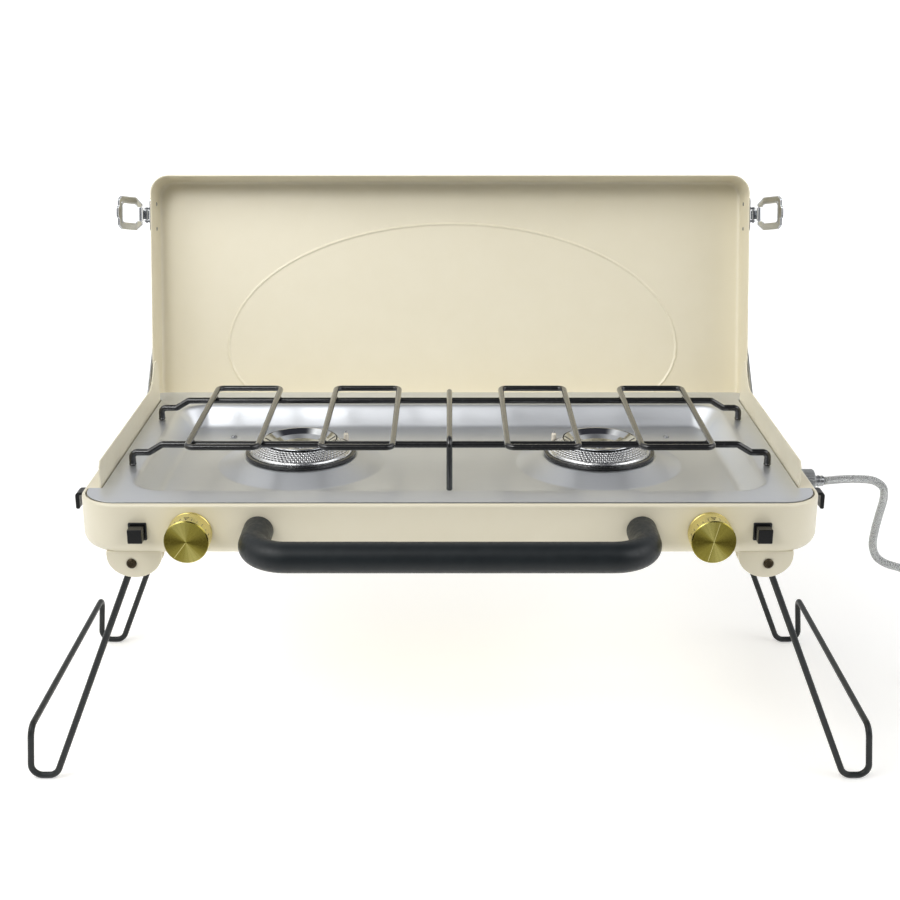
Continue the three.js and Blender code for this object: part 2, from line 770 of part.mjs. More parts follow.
// The run of the hose from the inlet down to the top of its coil.
const HOSE_ROUTE = [
  [321.5, 104, -16.5],
  [338, 104, -15],
  [353, 104, -14.9],
  [365, 104, -16.6],
  [373, 103.8, -22.5],
  [374.4, 103.4, -31.5],
  [371.6, 102.9, -47],
  [368.8, 102.2, -63],
  [368.3, 101.6, -76],
  [372.5, 101, -86],
  [381, 100.6, -91.8],
  [392, 100, -95.2],
  [405, 100, -100.5],
  [419, 101.5, -111],
  [433, 104, -129],
  [444.5, 107, -152],
  [453, 109, -180],
  [460, 109, -206],
  [465, 104, -226.5],
  [468, 94, -238.5],
];
const hosePath = new THREE.CatmullRomCurve3(vectors(HOSE_ROUTE), false, "centripetal");
const circle = new THREE.Shape();
circle.absarc(0, 0, HOSE_R, 0, 2 * Math.PI);
const hose = new THREE.ExtrudeGeometry(circle, { steps: 26, curveSegments: 5, extrudePath: hosePath });
add("gas_hose", hose, STEEL());

const FLOOR = -FLOOR_TO_PLATE;
const coil = [
  [COIL_IN_R, FLOOR + 0.2],
  [COIL_OUT_R, FLOOR + 0.2],
  [COIL_OUT_R, FLOOR + 7.4],
  [COIL_IN_R, FLOOR + 7.4],
  [COIL_IN_R, FLOOR + 0.2],
];
add("hose_coil", turned(coil, 40, COIL_X, COIL_Y), STEEL());

// The regulator lies where the coil's last turn leaves its ring, in line with the hose.
const endAngle = Math.PI + COIL_TURNS * 2 * Math.PI;
const heading = endAngle + Math.PI / 2;
const regulator = fuse(
  rod("x", 5, 36, 54, [0, 11.5], 16),
  rod("z", 24, 0.2, 17, [74, 0], 28),
  rod("z", 15, 16, 25, [74, 0], 24),
  rod("x", 6, 92, 104, [0, 11.5], 16),
  rod("x", 11, 102, 118, [0, 11.5], 6),
)
  .rotateZ(heading)
  .translate(
    COIL_X + COIL_END_R * Math.cos(endAngle),
    COIL_Y + COIL_END_R * Math.sin(endAngle),
    FLOOR,
  );
add("regulator", regulator, BRASS());

export default group;
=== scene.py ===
"""Looks for a two-burner folding camping stove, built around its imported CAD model.

Points are written in millimetres in the stove's own datum: x to the right from the middle,
y to the back from the front edge of the cooking plate, z up from that plate. at() turns them
into the frame's metres. Lid pieces are written with the lid shut, then turned open.
"""
from math import atan2, cos, hypot, pi, radians, sin, sqrt, tan

import bmesh
import bpy
from mathutils import Matrix, Vector


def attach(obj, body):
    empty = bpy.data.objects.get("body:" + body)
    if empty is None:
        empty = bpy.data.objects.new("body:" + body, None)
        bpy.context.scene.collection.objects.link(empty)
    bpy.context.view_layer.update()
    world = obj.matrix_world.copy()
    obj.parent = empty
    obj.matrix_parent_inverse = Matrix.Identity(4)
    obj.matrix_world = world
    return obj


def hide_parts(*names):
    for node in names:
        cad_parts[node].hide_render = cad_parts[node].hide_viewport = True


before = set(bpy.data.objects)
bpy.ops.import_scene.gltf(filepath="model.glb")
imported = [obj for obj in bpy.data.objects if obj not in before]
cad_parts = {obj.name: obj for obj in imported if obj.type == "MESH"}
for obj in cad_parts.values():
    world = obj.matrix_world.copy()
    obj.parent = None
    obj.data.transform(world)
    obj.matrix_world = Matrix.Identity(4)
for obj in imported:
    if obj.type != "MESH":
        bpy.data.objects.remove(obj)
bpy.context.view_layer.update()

DATUM = Vector((0, -0.18235, 0.254))
GROUND_Z = -254
SIDES = (("left", -1), ("right", 1))
TAU = 2 * pi


def at(point):
    return Vector(point) * 0.001 + DATUM


def linked(name, data):
    obj = bpy.data.objects.new(name, data)
    bpy.context.scene.collection.objects.link(obj)
    return obj


camera_data = bpy.data.cameras.new("camera")
camera_data.lens = 58.72
camera_data.sensor_width = 36
camera_data.clip_end = 100
camera = linked("camera", camera_data)
camera.location = (0, -1.27135, 0.653)
camera.rotation_euler = (radians(72), 0, 0)
bpy.context.scene.camera = camera


# Places

YZX = Matrix(((0, 0, 1, 0), (1, 0, 0, 0), (0, 1, 0, 0), (0, 0, 0, 1)))
ZXY = Matrix(((0, 1, 0, 0), (0, 0, 1, 0), (1, 0, 0, 0), (0, 0, 0, 1)))
XZY = Matrix(((1, 0, 0, 0), (0, 0, 1, 0), (0, 1, 0, 0), (0, 0, 0, 1)))


def shift(x, y, z=0):
    return Matrix.Translation((x, y, z))


def turned(degrees, axis):
    return Matrix.Rotation(radians(degrees), 4, axis)


def pointing(origin, direction, up=(0, 0, 1)):
    """The matrix that puts a shape's z axis along direction, at origin."""
    z = Vector(direction).normalized()
    x = Vector(up).cross(z)
    if x.length < 1e-6:
        x = Vector((1, 0, 0)).cross(z) if abs(z.x) < 0.9 else Vector((0, 1, 0)).cross(z)
    x.normalize()
    m = Matrix((x, z.cross(x), z)).transposed().to_4x4()
    m.translation = Vector(origin)
    return m


# Shapes: each is (points, faces), the points in millimetres


def merge(*shapes):
    points, faces = [], []
    for shape_points, shape_faces in shapes:
        start = len(points)
        points.extend(shape_points)
        faces.extend([tuple(i + start for i in face) for face in shape_faces])
    return points, faces


def moved(shape, matrix):
    return [matrix @ Vector(p) for p in shape[0]], shape[1]


def mirrored(shape, s):
    """A right-hand shape for side s."""
    return [Vector((s * p[0], p[1], p[2])) for p in shape[0]], shape[1]


def quarter(n):
    """(cosine, sine) at n + 1 steps over a quarter turn."""
    return [(cos(pi / 2 * k / n), sin(pi / 2 * k / n)) for k in range(n + 1)]


def arc(cx, cy, r, start, end, steps):
    angles = [radians(start + (end - start) * k / steps) for k in range(steps + 1)]
    return [(cx + r * cos(a), cy + r * sin(a)) for a in angles]


def bent(points, radius, steps=6, closed=False):
    """The polyline with each inner corner replaced by an arc, as far as its edges leave room."""
    p = [Vector(q) for q in points]
    n = len(p)
    out = []
    for i, here in enumerate(p):
        r = radius[i] if isinstance(radius, (list, tuple)) else radius
        if (not closed and i in (0, n - 1)) or r <= 0:
            out.append(here)
            continue
        back, on = p[i - 1] - here, p[(i + 1) % n] - here
        angle = back.angle(on)
        if angle > pi - 1e-3:
            out.append(here)
            continue
        half = angle / 2
        reach = min(r / tan(half), 0.49 * back.length, 0.49 * on.length)
        r = reach * tan(half)
        back.normalize()
        on.normalize()
        centre = here + (back + on).normalized() * (r / sin(half))
        a, b = here + back * reach - centre, here + on * reach - centre
        whole = a.angle(b)
        for k in range(steps + 1):
            t = k / steps
            from_a, from_b = sin((1 - t) * whole) / sin(whole), sin(t * whole) / sin(whole)
            out.append(centre + a * from_a + b * from_b)
    return out


def flat_profile(pairs, radius=0.0, steps=4, closed=False):
    """(radius, height) pairs with their corners rounded."""
    return [(v.x, v.z) for v in bent([(r, 0, z) for r, z in pairs], radius, steps, closed)]


def rounded(pairs, radius, steps=5):
    """A closed outline of (x, y) pairs with its corners rounded."""
    return [(v.x, v.y) for v in bent([(x, y, 0) for x, y in pairs], radius, steps, True)]


def lathe(profile, sides, closed=False):
    """A profile of (radius, height) turned about z. A radius of 0 at an end closes it there."""
    points, faces, rings = [], [], []
    for r, z in profile:
        if r < 1e-6:
            rings.append([len(points)] * sides)
            points.append(Vector((0, 0, z)))
        else:
            rings.append(list(range(len(points), len(points) + sides)))
            turns = [TAU * k / sides for k in range(sides)]
            points += [Vector((r * cos(a), r * sin(a), z)) for a in turns]
    for i in range(len(rings) if closed else len(rings) - 1):
        low, high = rings[i], rings[(i + 1) % len(rings)]
        for k in range(sides):
            j = (k + 1) % sides
            face = [low[k], low[j], high[j], high[k]]
            face = [v for m, v in enumerate(face) if v != face[m - 1]]
            if len(face) > 2:
                faces.append(tuple(face))
    return points, faces


def frames_along(points, closed=False):
    """(normal, across) at each point, carried on without twist."""
    n = len(points)
    out = []
    normal = None
    for i in range(n):
        before = points[i - 1] if closed or i else points[0]
        after = points[(i + 1) % n] if closed or i + 1 < n else points[-1]
        along = (after - before).normalized()
        if normal is None:
            normal = Vector((0, 0, 1)) if abs(along.z) < 0.9 else Vector((1, 0, 0))
        normal = (normal - along * normal.dot(along)).normalized()
        out.append((normal, along.cross(normal)))
    return out


def tube(points, radius, sides=16, closed=False, rounding=0.0):
    """A round wire along points. Its ends are flat, or domed by rounding millimetres."""
    points = [Vector(p) for p in points]
    n = len(points)
    radii = [radius] * n
    if rounding and not closed:
        first = (points[0] - points[1]).normalized()
        last = (points[-1] - points[-2]).normalized()
        insets = [rounding - rounding * cos(TAU / 16 * k) for k in range(4)] + [rounding]
        dome = [radius - rounding + rounding * sin(TAU / 16 * k) for k in range(4)]
        start = [points[0] - first * inset for inset in insets]
        end = [points[-1] - last * inset for inset in reversed(insets)]
        points = start + points[1:-1] + end
        radii = dome + radii + dome[::-1]
        n = len(points)
    verts = []
    for (normal, across), p, r in zip(frames_along(points, closed), points, radii):
        for k in range(sides):
            a = TAU * k / sides
            verts.append(p + normal * (r * cos(a)) + across * (r * sin(a)))
    faces = []
    for i in range(n if closed else n - 1):
        a, b = i * sides, ((i + 1) % n) * sides
        for k in range(sides):
            j = (k + 1) % sides
            faces.append((a + k, a + j, b + j, b + k))
    if not closed:
        faces.append(tuple(reversed(range(sides))))
        faces.append(tuple(range((n - 1) * sides, n * sides)))
    return verts, faces


def block(x0, x1, y0, y1, z0, z1):
    points = [Vector((x, y, z)) for z in (z0, z1) for y in (y0, y1) for x in (x0, x1)]
    return points, [(0, 2, 3, 1), (4, 5, 7, 6), (0, 1, 5, 4), (2, 6, 7, 3), (0, 4, 6, 2), (1, 3, 7, 5)]


def prism(outline, z0, z1):
    """A flat outline of (x, y) pairs pushed from z0 to z1."""
    n = len(outline)
    points = [Vector((x, y, z)) for z in (z0, z1) for x, y in outline]
    faces = [tuple(reversed(range(n))), tuple(range(n, 2 * n))]
    faces += [(i, (i + 1) % n, n + (i + 1) % n, n + i) for i in range(n)]
    return points, faces


def cylinder(axis, r, a, b, centre, sides=32):
    """A cylinder along the x or y axis from a to b; centre is its place on the other two."""
    u, v = centre
    place = shift(0, u, v) @ YZX if axis == "x" else shift(u, 0, v) @ ZXY
    return moved(lathe([(0, a), (r, a), (r, b), (0, b)], sides), place)


def ball(centre, r, squash):
    profile = [(r * sin(pi * k / 6), -r * squash * cos(pi * k / 6)) for k in range(7)]
    profile[0] = (0, profile[0][1])
    profile[-1] = (0, profile[-1][1])
    return moved(lathe(profile, 12), shift(*centre))


def pan_head(r, h, sides=24):
    """A screw head about z with its recess, seated on z = 0."""
    pairs = [(0, h * 0.35), (0.416 * r, h * 0.4), (0.52 * r, h), (r * 0.7, h * 0.98), (r, h * 0.35), (r, 0), (0, 0)]
    return lathe(flat_profile(pairs, 0.18 * r, 3), sides)


# Pieces


def new_mesh(name, shape, weld=0.0):
    """A mesh of the shape with its faces turned out."""
    mesh = bpy.data.meshes.new(name)
    mesh.from_pydata([at(p) for p in shape[0]], [], shape[1])
    bm = bmesh.new()
    bm.from_mesh(mesh)
    if weld:
        bmesh.ops.remove_doubles(bm, verts=bm.verts, dist=weld)
    bmesh.ops.recalc_face_normals(bm, faces=bm.faces)
    bm.to_mesh(mesh)
    bm.free()
    return mesh


def carve(obj, hole, name):
    cutter = linked(name, new_mesh(name, hole))
    modifier = obj.modifiers.new("cut", "BOOLEAN")
    modifier.operation = "DIFFERENCE"
    modifier.solver = "EXACT"
    modifier.object = cutter
    graph = bpy.context.evaluated_depsgraph_get()
    graph.update()
    obj.data = bpy.data.meshes.new_from_object(obj.evaluated_get(graph))
    obj.modifiers.clear()
    bpy.data.objects.remove(cutter)


def fit(obj, body, stands_for=()):
    """Puts a piece on its CAD body, in place of the nodes that it stands for."""
    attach(obj, body)
    if stands_for:
        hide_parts(*([stands_for] if isinstance(stands_for, str) else stands_for))
    return obj


def piece(name, shape, material, body, stands_for=(), bevel=0.0, crease=32, steps=3, holes=()):
    """Makes the shape an object that rides on a CAD body, with its edges rounded by bevel millimetres."""
    obj = linked(name, new_mesh(name, shape, 2e-6))
    for k, hole in enumerate(holes):
        carve(obj, hole, f"{name}_cut_{k}")
    mesh = obj.data
    bm = bmesh.new()
    bm.from_mesh(mesh)
    for face in bm.faces:
        face.smooth = True
    if not bevel:
        for edge in bm.edges:
            if len(edge.link_faces) == 2 and edge.calc_face_angle(0) > radians(crease):
                edge.smooth = False
    bm.to_mesh(mesh)
    bm.free()
    mesh.materials.clear()
    mesh.materials.append(material)
    if bevel:
        modifier = obj.modifiers.new("edges", "BEVEL")
        modifier.width = bevel * 0.001
        modifier.segments = steps
        modifier.limit_method = "ANGLE"
        modifier.angle_limit = radians(crease)
        modifier.use_clamp_overlap = True
    obj.modifiers.new("normals", "WEIGHTED_NORMAL").keep_sharp = not bevel
    return fit(obj, body, stands_for)


def sheet_piece(name, bm, material, thickness, even, stands_for):
    """An open surface of the base, made a sheet of that thickness in metres below it."""
    bmesh.ops.recalc_face_normals(bm, faces=bm.faces)
    if sum(face.normal.z for face in bm.faces) < 0:
        bmesh.ops.reverse_faces(bm, faces=bm.faces)
    for face in bm.faces:
        face.smooth = True
    mesh = bpy.data.meshes.new(name)
    bm.to_mesh(mesh)
    bm.free()
    mesh.materials.append(material)
    obj = linked(name, mesh)
    modifier = obj.modifiers.new("sheet", "SOLIDIFY")
    modifier.thickness = thickness
    modifier.offset = -1
    modifier.use_even_offset = even
    return fit(obj, "base", stands_for)


# Materials


def srgb(code):
    values = [int(code[i : i + 2], 16) / 255 for i in (0, 2, 4)]
    return [v / 12.92 if v <= 0.04045 else ((v + 0.055) / 1.055) ** 2.4 for v in values] + [1.0]


class Finish:
    """A Principled material and the nodes that give its surface detail."""

    def __init__(self, name, colour, roughness, metallic=0.0, **fixed):
        self.material = bpy.data.materials.new(name)
        self.material.use_nodes = True
        self.tree = self.material.node_tree
        self.shader = self.tree.nodes["Principled BSDF"]
        self.colour = srgb(colour)
        self.roughness = roughness
        fixed.update(Base_Color=self.colour, Roughness=roughness, Metallic=metallic)
        for key, value in fixed.items():
            self.shader.inputs[key.replace("_", " ")].default_value = value
        self.coordinates = self.node("ShaderNodeTexCoord").outputs["Object"]
        self.normal = None

    def node(self, kind, links=None, **values):
        made = self.tree.nodes.new(kind)
        for key, value in values.items():
            setattr(made, key, value)
        for key, value in (links or {}).items():
            if isinstance(value, bpy.types.NodeSocket):
                self.tree.links.new(value, made.inputs[key])
            else:
                made.inputs[key].default_value = value
        return made

    def noise(self, per_metre, stretch=(1, 1, 1), detail=4.0):
        where = self.node("ShaderNodeMapping", {"Vector": self.coordinates, "Scale": stretch}).outputs["Vector"]
        links = {"Vector": where, "Scale": per_metre, "Detail": detail, "Roughness": 0.55}
        return self.node("ShaderNodeTexNoise", links).outputs["Fac"]

    def ranged(self, value, low, high, start=0.3, end=0.7):
        links = {"Value": value, "From Min": start, "From Max": end, "To Min": low, "To Max": high}
        return self.node("ShaderNodeMapRange", links).outputs["Result"]

    def math(self, operation, a, b=0.0):
        return self.node("ShaderNodeMath", {0: a, 1: b}, operation=operation).outputs[0]

    def tint(self, factor, colour):
        """Mixes towards another colour by factor, over what the base colour is so far."""
        socket = self.shader.inputs["Base Color"]
        below = socket.links[0].from_socket if socket.links else self.colour
        mix = self.node("ShaderNodeMix", {"Factor": factor, 6: below, 7: srgb(colour)}, data_type="RGBA")
        self.tree.links.new(mix.outputs[2], socket)

    def mottle(self, per_metre, colour, amount, stretch=(1, 1, 1), detail=4.0):
        self.tint(self.ranged(self.noise(per_metre, stretch, detail), 0, amount), colour)

    def gloss(self, per_metre, spread, stretch=(1, 1, 1)):
        noise = self.noise(per_metre, stretch, 3.0)
        value = self.ranged(noise, self.roughness - spread, self.roughness + spread)
        self.tree.links.new(value, self.shader.inputs["Roughness"])

    def relief(self, height, depth):
        """Adds a bump of that depth in metres, on top of what is there."""
        links = {"Height": height, "Strength": 1.0, "Distance": depth}
        if self.normal:
            links["Normal"] = self.normal
        self.normal = self.node("ShaderNodeBump", links).outputs["Normal"]
        self.tree.links.new(self.normal, self.shader.inputs["Normal"])


def painted(name, colour, shade, light):
    """Smooth powder paint: a faint orange peel, slow drifts in tone and fine specks."""
    f = Finish(name, colour, 0.4, Coat_Weight=0.18, Coat_Roughness=0.22)
    f.mottle(9, shade, 0.22, detail=2)
    f.mottle(55, light, 0.16, detail=3)
    f.tint(f.ranged(f.noise(2600, detail=2), 0, 0.16, 0.66, 0.74), shade)
    f.gloss(140, 0.05)
    f.relief(f.noise(750, detail=2), 0.00003)
    return f.material


def enamel(name, colour, grey, roughness, coat, lumps, specular=0.5):
    """Black enamel or powder coat over wire or tube."""
    f = Finish(name, colour, roughness, Coat_Weight=coat, Coat_Roughness=0.2, Specular_IOR_Level=specular)
    f.mottle(90, grey, 0.5, detail=3)
    f.tint(f.ranged(f.noise(3400, detail=2), 0, 0.35, 0.62, 0.72), grey)
    f.gloss(300, 0.08)
    f.relief(f.noise(520, detail=3), lumps)
    return f.material


def metal(name, colour, roughness, stretch, dark, grain=0.00001, per_metre=900, spread=0.07):
    """Bare metal with grain drawn out along one way."""
    f = Finish(name, colour, roughness, 1.0)
    f.mottle(per_metre, dark, 0.35, stretch, 3)
    f.mottle(26, dark, 0.2, detail=2)
    f.gloss(per_metre * 0.6, spread, stretch)
    f.relief(f.noise(per_metre * 1.4, stretch, 2), grain)
    return f.material


def moulded(name, colour, roughness, mottle, gloss, grain=None, **fixed):
    """Plastic, glaze or paint. mottle and gloss hold what those methods take, grain (per metre, depth)."""
    f = Finish(name, colour, roughness, **fixed)
    f.mottle(*mottle)
    f.gloss(*gloss)
    if grain:
        f.relief(f.noise(grain[0], detail=2), grain[1])
    return f.material


def spun_brass(name, centre):
    """Brass whose face was turned: fine rings about the knob's axis, and the sheen that they throw, partly from the
    shader's anisotropy and partly painted into the colour as light and dark sectors and fine streaks round the axis, a
    painted highlight and painted shade. The knob's side is painted a paler brass, a painted highlight.
    """
    f = Finish(name, "9C9142", 0.25, 1.0, Anisotropic=0.8, Anisotropic_Rotation=0.25)
    links = {0: f.coordinates, 1: at(centre)}
    offset = f.node("ShaderNodeVectorMath", links, operation="SUBTRACT").outputs["Vector"]
    split = f.node("ShaderNodeSeparateXYZ", {"Vector": offset})
    x, z = split.outputs["X"], split.outputs["Z"]
    radius = f.math("SQRT", f.math("ADD", f.math("MULTIPLY", x, x), f.math("MULTIPLY", z, z)))
    angle = f.math("ARCTAN2", x, z)
    on_face = f.ranged(split.outputs["Y"], 1.0, 0.0, 0.0006, 0.0012)
    # Painted sheen from here to the face tints: light and dark sectors and fine streaks round the knob's axis, a
    # painted highlight and painted shade in the face's colour.
    painted_sheen_fan = f.math("COSINE", f.math("MULTIPLY", f.math("ADD", angle, 0.1), 2.0))
    painted_sheen_lobes = f.math("COSINE", f.math("ADD", f.math("MULTIPLY", angle, 4.0), 2.4))
    whole = f.math("ADD", painted_sheen_fan, f.math("MULTIPLY", painted_sheen_lobes, 0.35))
    painted_sheen_flicker = f.math("SINE", f.math("MULTIPLY", angle, 23.0))
    for painted_sheen_mask, colour in (
        (f.ranged(whole, 0.85, 0.0, -1.2, 0.1), "463C0C"),
        (f.ranged(whole, 0.0, 0.8, 0.3, 1.3), "DDD583"),
        (f.ranged(painted_sheen_flicker, 0.0, 0.14, 0.0, 1.0), "746A22"),
    ):
        f.tint(f.math("MULTIPLY", painted_sheen_mask, on_face), colour)
    # The knob's side painted a paler brass: a painted highlight for the light it catches.
    f.tint(f.math("SUBTRACT", 1.0, on_face), "EFE193")
    f.tint(f.ranged(f.noise(600, detail=3), 0.0, 0.12), "C9BD60")
    rings = f.math("SINE", f.math("MULTIPLY", radius, 14000.0))
    f.relief(f.ranged(rings, 0, 1, -1, 1), 0.000006)
    f.relief(f.noise(1500, detail=2), 0.000004)
    tangent = f.node("ShaderNodeTangent", direction_type="RADIAL", axis="Y")
    f.tree.links.new(tangent.outputs["Tangent"], f.shader.inputs["Tangent"])
    return f.material


def braided(name):
    """Fine steel wire woven over a hose: u runs along it in metres, v once round it."""
    f = Finish(name, "C9CBCB", 0.27, 0.95)
    uv = f.node("ShaderNodeUVMap", uv_map="along").outputs["UV"]
    split = f.node("ShaderNodeSeparateXYZ", {"Vector": uv})
    along = f.math("MULTIPLY", split.outputs["X"], TAU * 280)
    around = f.math("MULTIPLY", split.outputs["Y"], TAU * 8)
    one = f.math("SINE", f.math("ADD", along, around))
    two = f.math("SINE", f.math("SUBTRACT", along, around))
    ribbons = f.math("MAXIMUM", f.math("MULTIPLY", one, one), f.math("MULTIPLY", two, two))
    f.tint(f.ranged(ribbons, 0.85, 0.0, 0.1, 0.6), "3E4042")
    f.tint(f.ranged(f.math("MULTIPLY", one, two), 0.0, 0.35, 0.0, 1.0), "8A8D8E")
    f.tint(f.ranged(f.noise(900, detail=2), 0.0, 0.3), "D6D8D8")
    f.gloss(900, 0.08)
    f.relief(ribbons, 0.0006)
    return f.material


def plate_finish():
    """Brushed aluminium-grey steel."""
    f = Finish("plate_metal", "D6D9DD", 0.38, 0.85)
    f.mottle(5, "CBCED2", 0.3, detail=1)
    f.mottle(900, "E2E4E6", 0.14, (0.1, 1, 1), 2)
    f.gloss(14, 0.02)
    f.relief(f.noise(2600, (0.3, 1, 1), detail=1), 0.000004)
    return f.material


EVEN = (1, 1, 1)
cream = painted("cream_paint", "E2DBC4", "D8D0B6", "E9E3D0")
plate_metal = plate_finish()
wire_enamel = enamel("black_enamel", "0D0E0F", "1C1D1E", 0.2, 0.5, 0.00004)
handle_black = enamel("handle_coat", "171C1F", "202629", 0.42, 0.0, 0.00002, 0.32)
leg_black = enamel("leg_coat", "1A1D1E", "292C2D", 0.38, 0.0, 0.00004, 0.35)
ring_black = enamel("ring_enamel", "080909", "141516", 0.22, 0.3, 0.00005)
stainless = metal("stainless", "B9BBBD", 0.26, (1, 1, 0.15), "8F9294")
strip_steel = metal("strip_steel", "B4B6B6", 0.3, (1, 0.2, 0.2), "8C8F90")
band_steel = metal("band_steel", "E6E7E8", 0.24, (1, 1, 0.3), "A6A8AA", per_metre=500)
chrome = metal("chrome", "DADCDE", 0.1, EVEN, "BFC2C5", 0.000004, 300, 0.04)
cap_chrome = metal("cap_mirror", "CDCFD1", 0.09, EVEN, "A9ACAF", 0.000004, 220, 0.03)
cast_dark = enamel("cast_dark", "222425", "34373A", 0.58, 0.0, 0.0001)
# Near-black for the cone inside the flame band: painted shade behind the band's holes.
painted_shade_black = enamel("painted_shade_black", "050505", "0B0B0B", 0.7, 0.0, 0.00003, 0.2)
hook_black = enamel("hook_coat", "08090A", "121314", 0.35, 0.0, 0.00003, 0.35)
zinc = metal("cast_zinc", "C6C8C9", 0.42, EVEN, "7F8284", 0.00004, 700)
brass_plain = metal("brass", "B08A2E", 0.3, (1, 0.2, 1), "7E611C")
screw_dark = metal("screw_bronze", "4A4234", 0.38, EVEN, "2B261D", 0.00002)
screw_steel = metal("screw_steel", "9A9C9E", 0.3, EVEN, "6C6F72")
black_plastic = moulded(
    "black_plastic", "060607", 0.22, (400, "0E0F10", 0.6), (500, 0.05), (900, 0.000006), Specular_IOR_Level=0.4
)
housing_plastic = moulded("housing_plastic", "1A1C1D", 0.42, (900, "2A2C2E", 0.7), (900, 0.08), (2600, 0.00002))
ceramic = moulded(
    "ceramic", "E6DFD0", 0.35, (500, "CFC4AE", 0.5), (500, 0.06), (900, 0.00002),
    Coat_Weight=0.5, Coat_Roughness=0.15,
)
# Pale brass for the pointer lines, and for the painted highlight across the right knob.
pointer_and_glint_brass = metal("pointer_and_glint_brass", "EFE6A0", 0.2, EVEN, "D0C46C", 0.000004, 700)
mark_paint = moulded("mark_paint", "3A3310", 0.5, (900, "5A5120", 0.6), (900, 0.08))


# The hose first: one curve from the inlet down to the ground, round its coil and into the regulator

HOSE_ROUTE = [
    (321.5, 104, -16.5), (338, 104, -15), (353, 104, -14.9), (365, 104, -16.6),
    (373, 103.8, -22.5), (374.4, 103.4, -31.5), (371.6, 102.9, -47), (368.8, 102.2, -63),
    (368.3, 101.6, -76), (372.5, 101, -86), (381, 100.6, -91.8), (392, 100, -95.2),
    (405, 100, -100.5), (419, 101.5, -111), (433, 104, -129), (444.5, 107, -152),
    (453, 109, -180), (460, 109, -206), (465, 104, -226.5), (468, 94, -238.5),
]
TO_COIL = [(467.4, 82, -245.8), (466, 71, -250.2)]
TO_REGULATOR = ((11, 1.0), (21, 4.6), (30, 7.4), (38, 7.8), (46, 7.8))  # along the last heading, and up
HOSE_R = 3.5
COIL = Vector((499, 70, -250.3))
COIL_R0, COIL_R1, COIL_TURNS, COIL_STEPS = 33.0, 51.7, 2.6, 62


def smooth_through(points, per_span):
    """A centripetal Catmull-Rom curve through points."""
    p = [Vector(q) for q in points]
    p = [2 * p[0] - p[1]] + p + [2 * p[-1] - p[-2]]
    out = []
    for a, b, c, d in zip(p, p[1:], p[2:], p[3:]):
        t0 = 0.0
        t1 = t0 + sqrt((b - a).length)
        t2 = t1 + sqrt((c - b).length)
        t3 = t2 + sqrt((d - c).length)
        for k in range(per_span):
            t = t1 + (t2 - t1) * k / per_span
            a1 = (a * (t1 - t) + b * (t - t0)) / (t1 - t0)
            a2 = (b * (t2 - t) + c * (t - t1)) / (t2 - t1)
            a3 = (c * (t3 - t) + d * (t - t2)) / (t3 - t2)
            b1 = (a1 * (t2 - t) + a2 * (t - t0)) / (t2 - t0)
            b2 = (a2 * (t3 - t) + a3 * (t - t1)) / (t3 - t1)
            out.append((b1 * (t2 - t) + b2 * (t - t1)) / (t2 - t1))
    out.append(p[-2])
    return out


def on_coil(share):
    a = pi + share * COIL_TURNS * TAU
    r = COIL_R0 + (COIL_R1 - COIL_R0) * share
    return COIL + Vector((r * cos(a), r * sin(a), 0))


end_angle = pi + COIL_TURNS * TAU
heading = Vector((-sin(end_angle), cos(end_angle), 0))
coil_end = on_coil(1)
spiral = [on_coil(i / COIL_STEPS) for i in range(1, COIL_STEPS + 1)]
rise = [coil_end + heading * t + Vector((0, 0, h)) for t, h in TO_REGULATOR]
hose_line = smooth_through(HOSE_ROUTE + TO_COIL + spiral + rise, 4)
spans = [(b - a).length / 1000 for a, b in zip(hose_line, hose_line[1:])]


def hose_piece():
    sides = 20
    mesh = bpy.data.meshes.new("hose")
    points, faces = tube(hose_line, HOSE_R, sides)
    mesh.from_pydata([at(p) for p in points], [], faces)
    layer = mesh.uv_layers.new(name="along")
    distance = [0.0]
    for span in spans:
        distance.append(distance[-1] + span)
    for polygon in mesh.polygons:
        polygon.use_smooth = len(polygon.vertices) == 4
        turns = {i % sides for i in polygon.vertices}
        wraps = 0 in turns and sides - 1 in turns
        for loop in polygon.loop_indices:
            i = mesh.loops[loop].vertex_index
            v = i % sides
            layer.data[loop].uv = (distance[i // sides], (sides if wraps and v == 0 else v) / sides)
    mesh.materials.append(braided("braid"))
    return fit(linked("hose", mesh), "base", ("gas_hose", "hose_coil"))


hose = hose_piece()


# Regulator at the hose's far end, lying on the ground

REGULATOR_AXIS, DISC_AT = 11.5, 74
lying = Matrix((heading, Vector((0, 0, 1)).cross(heading), Vector((0, 0, 1)))).transposed().to_4x4()
lying.translation = Vector((coil_end.x, coil_end.y, GROUND_Z))
on_axis = lying @ shift(0, 0, REGULATOR_AXIS) @ YZX
on_disc = lying @ shift(DISC_AT, 0)

ribs = []
for k in range(6):
    t = 38 + k * 2.4
    ribs += [(4.4, t), (4.95, t + 0.5), (4.95, t + 1.6), (4.4, t + 2.1)]
ferrule = lathe([(3.7, 36), (4.6, 36)] + ribs + [(4.6, 53.5), (3.6, 54), (3.6, 36)], 24)
stem = lathe(flat_profile([(0, 52), (5.2, 52), (6, 56), (0, 56)], 0.5), 20)
neck = [(0, 90), (6, 90), (6, 94), (5, 95), (5, 97), (6, 98), (6, 103), (0, 103)]
disc = [
    (0, 0.3), (22.6, 0.3), (24, 2), (24, 7.2), (23.2, 8), (23.2, 9.4), (24, 10.2), (24, 15), (22, 17),
    (15.6, 17.6), (14.8, 19), (14.6, 23.5), (12.8, 24.8), (4, 24.8), (3.4, 24), (0, 24),
]
lug = lathe(flat_profile([(0, 15.2), (2.3, 15.2), (2.3, 17.8), (1.7, 18.4), (0, 18.4)], 0.3), 14)
lugs = [moved(lug, shift(19.4 * cos(a), 19.4 * sin(a))) for a in [TAU * (k + 0.5) / 5 for k in range(5)]]
